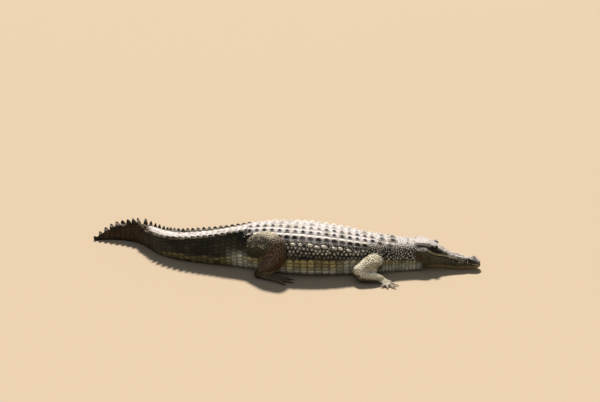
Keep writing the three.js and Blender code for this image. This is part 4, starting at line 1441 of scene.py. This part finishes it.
def chanceSeeds(taken, takenReach):
    # seeds scattered over the skin, none nearer than its own size to another
    mesh = skin.data
    corners = np.zeros(len(mesh.loops), np.int32)
    mesh.loops.foreach_get("vertex_index", corners)
    corners = corners.reshape(-1, 3)
    spots = readPoints(mesh)
    sizes = grainSize(spots, skinPlaces)
    a, b, c = (spots[corners[:, side]] for side in range(3))
    area = np.linalg.norm(np.cross(b - a, c - a), axis=-1) / 2
    size = sizes[corners].mean(1)
    wanted = area / size ** 2 * 5.5  # many more than fit, because most fall too near to another
    body = skinPlaces["onBody"][corners].all(1)
    height = spots[:, 2][corners].mean(1)
    back = skinPlaces["back"][corners].mean(1)
    low = height < lowEdge(back) - 0.004
    wanted[body & low & (back > -0.02)] = 0
    wanted[body & (back > 1.19)] = 0
    wanted[height < 0.0022] *= 0.2
    count = dice.poisson(wanted)
    which = np.repeat(np.arange(len(area)), count)
    r1, r2 = np.sqrt(dice.random(len(which))), dice.random(len(which))
    shares = ((1 - r1)[:, None], (r1 * (1 - r2))[:, None], (r1 * r2)[:, None])
    points = a[which] * shares[0] + b[which] * shares[1] + c[which] * shares[2]
    size = size[which]
    keep = ~insideScute(placesOf(points))
    for side in (-1, 1):  # none on the skin that is tucked behind the eyeball
        keep &= distance(points, eyeCentre(side)) > eyeForm["radius"] + 1.4 * mm
    points, size = points[keep], size[keep]
    tree = treeOf(points)
    free = np.ones(len(points), bool)
    for point, reach in zip(taken, takenReach):
        for _, at, _ in tree.find_range(point, reach):
            free[at] = False
    chosen = []
    for at in dice.permutation(len(points)):
        if free[at]:
            chosen.append(at)
            for _, other, _ in tree.find_range(points[at], size[at] * 0.88):
                free[other] = False
    chosen = np.array(chosen)
    return points[chosen], size[chosen]


rows = latticeSeeds()
rowPoints, rowNormals, rowLie = bodyFrameAt(rows[:, 0], rows[:, 1])
rowHits = onSkin(rowPoints)[0]
rowFree = distance(rowHits, rowPoints) < 5 * mm
rowPlaces = {
    "onLimb": np.zeros(len(rows), bool), "across": rows[:, 1], "back": rows[:, 0], "count": len(rows),
}
rowFree &= ~insideScute(rowPlaces, 0.004)
rowFree &= headPlace(rowPoints)[0] < -0.004
rows, rowPoints, rowNormals, rowLie = rows[rowFree], rowHits[rowFree], rowNormals[rowFree], rowLie[rowFree]
lips, toes = lipSeeds(), toeSeeds()


def ghostSeeds():
    # seeds without a scale along the rim of each scute, so that the cells beside it end there
    spots = []
    for row in scutes:
        counts = (max(3, round(half * 2 / 0.009)) for half in row[2:4])
        lengthways, sideways = (np.linspace(-0.86, 0.86, count) for count in counts)
        for u in lengthways:
            for v in sideways:
                if max(abs(u), abs(v)) > 0.85:
                    spots.append((row[0] + u * row[2], row[1] + v * row[3]))
    spots = np.array(spots)
    return bodySurface(spots[:, 0], spots[:, 1])


def perSeed(*groups):
    # a value for each seed: a group gives them all itself, or one for a count of seeds
    return np.concatenate([value if np.ndim(value) else np.full(count, value) for value, count in groups])


ghosts = ghostSeeds()
wide = rows[:, 5] > 0  # the long scales of belly and tail keep chance scales off their whole length
blocked = np.vstack([rowPoints[wide] + rowLie[wide] * shift for shift in (-0.017, 0.017)])
chancePoints, chanceSizes = chanceSeeds(np.vstack([rowPoints, lips, toes, ghosts, blocked]), perSeed(
    (np.where(rows[:, 5] == 0, 0.0118, 0.0195), 0), (6.5 * mm, len(lips)), (5.0 * mm, len(toes)),
    (4.5 * mm, len(ghosts)), (12 * mm, len(blocked)),
))
lipCount, toeCount, chanceCount = len(lips), len(toes), len(chancePoints)
print(f"seeds: {len(rows)} in rows, {lipCount} on the lips, {toeCount} on the toes, {chanceCount} between")

seedPoints = np.vstack([rowPoints, lips, toes, chancePoints, ghosts])
lipSize, toeSize, ghostSize = 4.9 * mm, 4.6 * mm, 3.6 * mm
seedSize = perSeed(
    (rows[:, 2], 0), (lipSize, lipCount), (toeSize, toeCount), (chanceSizes * 0.5, 0),
    (ghostSize, len(ghosts)),
)
seedCount = len(seedPoints) - len(ghosts)
seedPlaces = placesOf(seedPoints)
skinPointTree = treeOf(readPoints(skin.data))
seedNormals = unit(readNormals(skin.data)[[skinPointTree.find(point)[1] for point in seedPoints]])
seedNormals[:len(rows)] = rowNormals
seedLie = unit(seedPlaces["lie"] - seedNormals * (seedPlaces["lie"] * seedNormals).sum(-1, keepdims=True))
seedSide = np.cross(seedNormals, seedLie)
seedColours = hideAt(seedPoints, seedPlaces)
seedTree = treeOf(seedPoints)
cellSides = 16
cellNeighbours = 16
ringCount = 97  # tones for whole rings of the belly


def cellShapes(batch=4000):
    # how far each cell reaches every way before it meets its neighbours, and how the skin falls away there
    reach = np.zeros((seedCount, cellSides))
    sag = np.zeros((seedCount, cellSides))
    compass = np.hstack(circle(cellSides))
    for start in range(0, seedCount, batch):
        some = np.arange(start, min(seedCount, start + batch))
        found = [seedTree.find_n(seedPoints[at], cellNeighbours + 1)[1:] for at in some]
        near = np.array([[hit[1] for hit in hits] for hits in found])
        lie, side, normal = (vectors[some][:, None] for vectors in (seedLie, seedSide, seedNormals))
        own = seedSize[some][:, None]
        gap = seedPoints[near] - seedPoints[some][:, None]
        facing = (seedNormals[near] * normal).sum(-1) > 0.1
        flat = np.stack([(gap * lie).sum(-1), (gap * side).sum(-1)], -1)
        fall = (gap * normal).sum(-1)
        square = np.maximum((flat ** 2).sum(-1), 1e-9)
        share = own / (own + seedSize[near])
        toward = flat @ compass.T
        meet = share[..., None] * square[..., None] / np.maximum(toward, 1e-6)
        meet = np.where((toward > 1e-6) & facing[..., None], meet, 9)
        reach[some] = np.minimum(meet.min(1), own * 1.55)
        weight = np.maximum(toward / np.sqrt(square)[..., None], 0) ** 4 * facing[..., None] + 1e-6
        curve = np.clip(fall / square, -60, 30)
        sag[some] = (weight * curve[..., None]).sum(1) / weight.sum(1)
    return reach, sag


cellReach, cellSag = cellShapes()
print("cells fitted:", seedCount)


def cellTemplate(shares, heights):
    # a low dome: a sunk rim, rings that rise towards the middle, and a peak
    bm = bmesh.new()
    bmesh.ops.create_circle(bm, cap_ends=True, segments=cellSides, radius=1)
    bm.faces.ensure_lookup_table()
    middle = bm.faces[0]
    before = 1.0
    for share in shares[1:]:
        inset = (before - share) * math.cos(math.pi / cellSides)
        bmesh.ops.inset_region(bm, faces=[middle], thickness=inset, use_boundary=True, use_even_offset=True)
        before = share
    bmesh.ops.poke(bm, faces=[middle])
    bmesh.ops.recalc_face_normals(bm, faces=bm.faces)
    spots, faces = readTemplate(bm)
    if faces[0].size:
        first, second, third = spots[faces[0][0][:3]]
        if np.cross(second - first, third - second)[2] < 0:
            faces = [face[:, ::-1] for face in faces]
    share = np.round(np.hypot(spots[:, 0], spots[:, 1]), 4)
    turn = np.arctan2(spots[:, 1], spots[:, 0]) % (2 * math.pi)
    rise = np.interp(-share, [-value for value in shares] + [0], list(heights))
    return share, turn, rise, faces


cellForms = {
    "small": cellTemplate((1.0, 0.78), (0, 0.78, 1.0)),
    "middle": cellTemplate((1.0, 0.86, 0.5), (0, 0.60, 0.93, 1.0)),
    "large": cellTemplate((1.0, 0.93, 0.66), (0, 0.62, 0.96, 1.0)),
}


def buildCells(name, chosen, form, gap, seamShade, material, tilt=0.0, vary=0.18, slotName="hide", flat=1.0):
    # gap in millimetres between two cells; tilt their slope along the lie; vary how far their tones differ
    which = np.flatnonzero(chosen)
    share, turn, rise, faces = cellForms[form]
    column = np.round(turn / (2 * math.pi / cellSides)).astype(int) % cellSides
    reach = cellReach[which][:, column]
    sag = cellSag[which][:, column]
    size = seedSize[which][:, None]
    nearest = cellReach[which].min(1)[:, None]
    radius = reach * np.maximum(1 - gap * mm / 2 / nearest, 0.55) * share
    x, y = radius * np.cos(turn), radius * np.sin(turn)
    height = (seedHeight[which] * flat)[:, None]
    keel = seedKeel[which][:, None]
    ridge = hump(y / size, 0, 0.22) * np.clip(1.05 - share, 0, 1) * (0.55 + 0.45 * np.clip(x / size, -1, 1))
    lift = rise * height + keel * ridge + tilt * x * (rise > 0) - 0.7 * mm * (rise == 0)
    frames = (seedPoints, seedLie, seedSide, seedNormals)
    root, lie, side, normal = (values[which][:, None] for values in frames)
    points = root + lie * x[..., None] + side * y[..., None] + normal * (sag * radius ** 2)[..., None]
    upright = np.broadcast_to(normal, points.shape)
    ground, outwards = onSkin(points.reshape(-1, 3))
    ground, outwards = ground.reshape(points.shape), outwards.reshape(points.shape)
    near = (distance(ground, points) < 5 * mm) & ((outwards * upright).sum(-1) > 0.2)
    points = np.where(near[..., None], ground, points) + upright * lift[..., None]
    points[..., 2] = np.maximum(points[..., 2], 0.25 * mm)
    ring = np.round(seedPlaces["back"][which] / rowForm["bellyPitch"]).astype(int) % ringCount
    ringTones = dice.uniform(1 - vary, 1 + vary, ringCount)[ring]  # whole rings of the belly differ too
    tones = dice.uniform(1 - vary, 1 + vary, len(which)) * np.where(kinds[which] == 1, ringTones, 1)
    slope = np.where(share > 0.8, (1 + seamShade) / 2 + 0.12, 1.0)
    shade = np.where(rise == 0, seamShade, slope) + np.zeros_like(radius)
    colours = seedColours[which][:, None] * (tones[:, None] * shade)[..., None]
    # pale tops on the domes: partly the scales' own cream tips, partly a painted highlight
    lit = (seedTips[which] * dice.uniform(0.5, 1, len(which)))[:, None] * np.clip(1.35 - share ** 2, 0, 1)
    colours = colours * (1 - lit[..., None]) + paint["tip"] * lit[..., None]
    places = {key: value[which] for key, value in seedPlaces.items() if isinstance(value, np.ndarray)}
    spots = unwrapOf(places, seedPoints[which])[:, None] + np.stack([x / size, y / size], -1) * patch / 2.4
    joinedMesh(
        name, points.reshape(-1, 3), repeated(faces, len(which), len(share)), colours.reshape(-1, 3),
        spots.reshape(-1, 2), material, slotName,
    )


# Kinds of seed: 0 flank rows, 1 belly, 2 tail, 3 lips, 4 toes, 5 by chance
kinds = perSeed((rows[:, 5], 0), (3, lipCount), (4, toeCount), (5, chanceCount))
seedHeight = perSeed((rows[:, 3], 0), (1.3, lipCount), (1.1, toeCount), (chanceSizes / mm * 0.19, 0)) * mm
seedKeel = perSeed((rows[:, 4], 0), (0, lipCount + toeCount + chanceCount)) * mm
chance = kinds == 5
flankward = np.abs(seedPlaces["across"]) - dorsalEdge(seedPlaces["back"])
seedTips = ramp(-flankward, -0.070, -0.030) * ramp(flankward, -0.03, -0.01)
neckward = ramp(-seedPlaces["back"], -0.42, -0.30) * ramp(seedPoints[:, 2], 0.085, 0.115)
neckward = neckward * ramp(flankward, -0.04, -0.01)
seedTips = seedTips * dice.random(len(seedPoints)) ** 0.7
seedTips = np.maximum(seedTips, neckward * dice.random(len(seedPoints)) ** 0.35)
seedTips = seedTips * (seedPlaces["back"] < 1.2)
raised = np.maximum(1.3 * neckward, 0.7 * seedTips * ~seedPlaces["onLimb"])[:seedCount]
seedHeight = seedHeight * (1 + raised * chance)
seedTips[seedPlaces["onHead"]] = 0
limbTips = np.where(seedPlaces["leg"] < 2, 0.35, 0.16) * (seedPlaces["down"] < 1.9)
# on the legs the pale tips fade out towards the underside: a painted highlight on the upper side
seedTips = np.where(seedPlaces["onLimb"], limbTips * ramp(seedPlaces["topward"], -0.15, 0.35), seedTips)
seedTips[:len(rows)] = rows[:, 6]
headSeeds = seedPlaces["onHead"][:seedCount] & (chance | (kinds == 3))
limbSeeds = seedPlaces["onLimb"][:seedCount] & (chance | (kinds == 4)) | (kinds == 4)
frontSeeds = seedPlaces["leg"][:seedCount] < 2
bodySeeds = chance & ~headSeeds & ~limbSeeds
buildCells("scales_flank_rows", kinds == 0, "large", 1.6, 0.25, granuleHide, tilt=0.10)
buildCells("scales_belly", kinds == 1, "large", 2.8, 0.10, bellyHide, 0.03, 0.30, "pale_hide")
buildCells("scales_tail", kinds == 2, "large", 2.6, 0.2, hornHide, tilt=0.05, vary=0.26)
neckSeeds = bodySeeds & (neckward[:seedCount] > 0.3)
backSeam = 0.22 + 0.48 * ramp(-flankward[:seedCount], 0.0, 0.03)  # pale seams on the pale back
onBody = bodySeeds & ~neckSeeds
buildCells("scales_body", onBody, "middle", 1.8, backSeam[onBody][:, None], granuleHide, tilt=0.06)
buildCells("scales_neck", neckSeeds, "middle", 3.4, 0.12, granuleHide, tilt=0.06, vary=0.25)
buildCells("scales_head", headSeeds, "small", 0.5, 0.5, boneHide, flat=0.38, vary=0.12)
for name, chosen, gap, seamShade in (
    ("scales_front_legs", limbSeeds & frontSeeds, 1.0, 0.52),
    ("scales_hind_legs", limbSeeds & ~frontSeeds, 1.4, 0.25),
):
    buildCells(name, chosen, "small", gap, seamShade, granuleHide, tilt=0.08, slotName="limb_hide")


# Eyes: a wet ball with an olive-gold iris and an upright slit
irisColours = ((0.0, "#6e5c28"), (0.34, "#7d6a30"), (0.52, "#4a3d1b"), (0.60, "#1a170d"))


def eyeMaterial():
    # a clear wet cornea over the iris: one sharp highlight
    material, tree = newMaterial("wet eyeball with a clear cornea")
    place = addNode(tree, "ShaderNodeUVMap", {"uv_map": "irisMap"}).outputs["UV"]
    axes = addNode(tree, "ShaderNodeSeparateXYZ", None, {"Vector": place})
    fromMiddle = addNode(tree, "ShaderNodeVectorMath", {"operation": "LENGTH"}, {0: place})
    veins = addNoise(tree, place, {"Scale": 9.0, "Detail": 4.0})
    narrow = computed(tree, "ABSOLUTE", axes.outputs["X"])
    tall = computed(tree, "MULTIPLY", axes.outputs["Y"], 1.9)
    width = computed(tree, "SUBTRACT", 1.0, computed(tree, "MULTIPLY", tall, tall))
    slit = computed(tree, "LESS_THAN", narrow, computed(tree, "MULTIPLY", width, 0.115))
    iris = addNode(tree, "ShaderNodeValToRGB", None, {"Fac": fromMiddle.outputs["Value"]})
    stops = iris.color_ramp.elements
    for at, (spot, colour) in enumerate(irisColours):
        stop = stops[at] if at < 2 else stops.new(spot)
        stop.position = spot
        stop.color = (*hexLinear(colour), 1)
    flecked = toned(tree, iris.outputs["Color"], mapped(tree, veins, 0.35, 0.7, (0.7, 1.2)))
    colour = mixed(tree, slit, {6: flecked}, {7: "#0a0906"})
    settings = {"Roughness": 0.16, "IOR": 1.376, "Coat Weight": 1.0, "Coat Roughness": 0.03}
    addSurface(tree, settings, {"Base Color": colour})
    return material


def buildEye(name, node, side, material):
    bm = bmesh.new()
    bmesh.ops.create_uvsphere(bm, u_segments=40, v_segments=28, radius=1)
    level, rise, gaze = eyeAxes(side)
    centre = eyeCentre(side)
    irisMap = bm.loops.layers.uv.new("irisMap")
    for face in bm.faces:
        face.smooth = True
        for loop in face.loops:
            loop[irisMap].uv = (loop.vert.co.x, loop.vert.co.y)
    for vert in bm.verts:
        x, y, z = vert.co
        bulge = 1 + eyeForm["cornea"] * ramp(z, 0.72, 0.98)  # the cornea stands out a little
        vert.co = Vector(centre + (level * x + rise * y + gaze * z * bulge) * eyeForm["radius"])
    bmesh.ops.recalc_face_normals(bm, faces=bm.faces)
    eye = finishObject(bm, name)
    eye.data.materials.append(material)
    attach(eye, "root")
    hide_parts(node)


wetEye = eyeMaterial()
buildEye("eyeball_right", "eye_right", -1, wetEye)
buildEye("eyeball_left", "eye_left", 1, wetEye)


def hornMaterial(name, pale, dark, streak, roughness):
    # horn and enamel: satin, streaked along its length, darker at the root
    material, tree = newMaterial(name)
    place = addNode(tree, "ShaderNodeTexCoord").outputs["Object"]
    rise = addNode(tree, "ShaderNodeAttribute", {"attribute_name": "hideColour"}).outputs["Color"]
    grain = addNoise(tree, place, {"Scale": 1 / streak, "Detail": 4.0, "Distortion": 0.6})
    colour = mixed(tree, rise, {}, {6: dark, 7: pale})
    colour = toned(tree, colour, mapped(tree, grain, 0.3, 0.7, (0.78, 1.12)))
    settings = {"Strength": 0.3, "Distance": 0.15 * mm}
    bump = addNode(tree, "ShaderNodeBump", settings, {"Height": grain.outputs["Fac"]})
    links = {"Base Color": colour, "Normal": bump.outputs["Normal"]}
    addSurface(tree, {"Roughness": roughness, "IOR": 1.54}, links)
    return material


def closedPiece(bm, name, material, paleness):
    # closes the lofts' ends, and keeps how pale each point is
    closeEnds(bm)
    piece = finishObject(bm, name)
    setColours(piece.data, np.array(paleness)[:, None] * np.ones(3))
    shadeSmooth(piece.data)
    piece.data.materials.append(material)
    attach(piece, "root")
    return piece


# Teeth: each one's place from the skull's back edge to the snout, and its length, in millimetres
teethForm = {
    "upper": [
        (447, 9), (438, 12), (427, 15), (416, 12), (405, 18), (392, 9), (346, 9), (334, 14), (322, 12),
        (311, 20), (299, 12), (288, 16), (275, 11), (262, 13), (247, 9), (232, 10), (216, 8), (200, 8),
        (184, 6), (168, 6),
    ],
    "lower": [(442, 9), (431, 8), (379, 9), (366, 17), (352, 8), (305, 8), (268, 8), (239, 7)],
    "stops": (-0.26, 0, 0.25, 0.5, 0.7, 0.86, 0.96, 1.0),  # rings along a tooth; the first is in the jaw
    "ringSides": 10,
}


def toothRings(ahead, side, length, rising):
    lip = float(lipHeight(ahead)) - (float(gapeAt(ahead)) if rising else 0)
    hit = skinFromSide(ahead, side, lip + (-4 if rising else 4) * mm)
    if hit is None:
        return None
    out = abs((np.array(hit) - headStart) @ headLeft)
    base = (1.7 + length * 0.105) * mm
    direction = 1 if rising else -1
    root = headPoint(ahead, side * (out - base * (0.55 if rising else 0.9)), lip)
    rings = []
    cosines, sines = circle(teethForm["ringSides"])
    for share in teethForm["stops"]:
        crownShare = max(share, 0)
        rise = share * length * mm * direction
        girth = base * (0.55 if share < 0 else (1 - share ** 1.7) * 0.97 + 0.03)
        inward = base * 0.9 * (share < 0)  # the root leans into the jaw
        bend = length * mm * 0.16 * crownShare ** 2
        outward = 0.6 * mm * math.sin(crownShare * math.pi) - bend * 0.4 - inward
        centre = root + upwards * rise - headAhead * bend + headLeft * side * outward
        rings.append(centre + cosines * headAhead * girth + sines * headLeft * girth)
    return rings


def buildTeeth(name, key, rising):
    bm = bmesh.new()
    paleness = []
    for ahead, length in teethForm[key]:
        for side in (-1, 1):
            rings = toothRings(ahead * mm, side, length, rising)
            if rings is None:
                continue
            heights = loftedPoints(bm, rings)[:, 2]
            span = (heights - heights.min()) / max(np.ptp(heights), 1e-6)
            paleness += list(0.35 + 0.65 * (span if rising else 1 - span))
    closedPiece(bm, name, enamel, paleness)


enamel = hornMaterial("worn tooth enamel", "#e9dfc4", "#8f7848", 2.5 * mm, 0.32)
buildTeeth("teeth_upper", "upper", False)
buildTeeth("teeth_lower", "lower", True)

clawForm = {
    # a claw's rings: share of its length, height and radius
    "stops": [
        (-0.25, 7.6, 4.2), (0, 8.4, 4.3), (0.3, 9.3, 4.1), (0.6, 9.0, 3.3), (0.85, 7.3, 2.3),
        (1.03, 4.9, 1.3), (1.14, 3.2, 0.5),
    ],
    "ringSides": 12,
    "length": 2.5,  # in toe radii
    "narrowness": 0.86,
}


def buildClaws(name, legName):
    leg, side = legs[legName]
    bm = bmesh.new()
    paleness = []
    for index in range(3):
        _, knuckle, tip = (np.array(legPoint(leg, side, point)) for point in toePoints(leg, index))
        ahead = unit((tip - knuckle) * (1, 1, 0))
        left = leftOf(ahead)
        cosines, sines = circle(clawForm["ringSides"])
        rings = []
        for share, height, radius in clawForm["stops"]:
            forward = ahead * share * leg["toeRadius"] * clawForm["length"] * mm
            centre = np.array([tip[0], tip[1], 0]) + forward + upwards * height * mm
            ring = cosines * left * radius * clawForm["narrowness"] + sines * upwards * radius
            rings.append(centre + ring * mm)
        reach = (loftedPoints(bm, rings) - tip) @ ahead
        paleness += list(ramp(reach, -0.004, 0.022))
    claws = closedPiece(bm, name, clawHorn, paleness)
    first = legName.split("_")
    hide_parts(*[f"claw_{first[0]}_{first[1]}_{index}" for index in (1, 2, 3)])


clawHorn = hornMaterial("worn claw horn", "#544a39", "#1b1812", 2.0 * mm, 0.42)
for legName in legs:
    buildClaws("claws_" + legName, legName)


floorSize = 30


def addFloor():
    bm = bmesh.new()
    bmesh.ops.create_grid(bm, x_segments=2, y_segments=2, size=floorSize)
    floor = finishObject(bm, "floor")
    material, tree = newMaterial("plain pale studio floor")  # even painted board, matt
    addSurface(tree, {"Base Color": (*hexLinear("#b9aa94"), 1), "Roughness": 0.9, "Specular IOR Level": 0.2})
    floor.data.materials.append(material)


stageLight = {
    "key": {"place": (-0.25, 4.9, 5.7), "spread": 7, "power": 6.2, "colour": "#fff4e8"},
    "fill": {
        "place": (0.6, -7.0, 4.2), "target": (0, 0, 0.1), "size": (6, 4), "power": 36, "colour": "#f4f4ff",
    },
    "world": ("#e9edf2", 0.22),
}
cameraForm = {"place": (-0.07801418, -9.75487883, 4.27007007), "pitch": 68.871, "lens": 90, "sensor": 36}


def addLight(name, kind, direction, power, colour):
    data = bpy.data.lights.new(name, kind)
    data.energy = power
    data.color = hexLinear(colour)
    light = linked(name, data)
    light.rotation_euler = direction.to_track_quat("-Z", "Y").to_euler()
    return light


def addArea(name, place, target, size, power, colour):
    light = addLight(name, "AREA", Vector(target) - Vector(place), power, colour)
    light.data.shape = "RECTANGLE"
    light.data.size, light.data.size_y = size
    light.location = place


def addKey(place, spread, power, colour):
    # a far, broad lamp: parallel light, with shadows whose edges are soft
    addLight("key", "SUN", -Vector(place), power, colour).data.angle = math.radians(spread)


def addCamera():
    data = bpy.data.cameras.new("camera")
    data.lens, data.sensor_width, data.sensor_fit = cameraForm["lens"], cameraForm["sensor"], "HORIZONTAL"
    camera = linked("camera", data)
    camera.location = cameraForm["place"]
    camera.rotation_euler = (math.radians(cameraForm["pitch"]), 0, 0)
    bpy.context.scene.camera = camera


def setWorld(colour, strength):
    world = bpy.data.worlds.new("studio")
    world.use_nodes = True
    background = world.node_tree.nodes["Background"]
    background.inputs["Color"].default_value = (*hexLinear(colour), 1)
    background.inputs["Strength"].default_value = strength
    bpy.context.scene.world = world


addFloor()
addCamera()
addKey(**stageLight["key"])
addArea("fill", **stageLight["fill"])
setWorld(*stageLight["world"])
bpy.context.scene.view_settings.view_transform = "Standard"  # plain sRGB: the colours stay as given
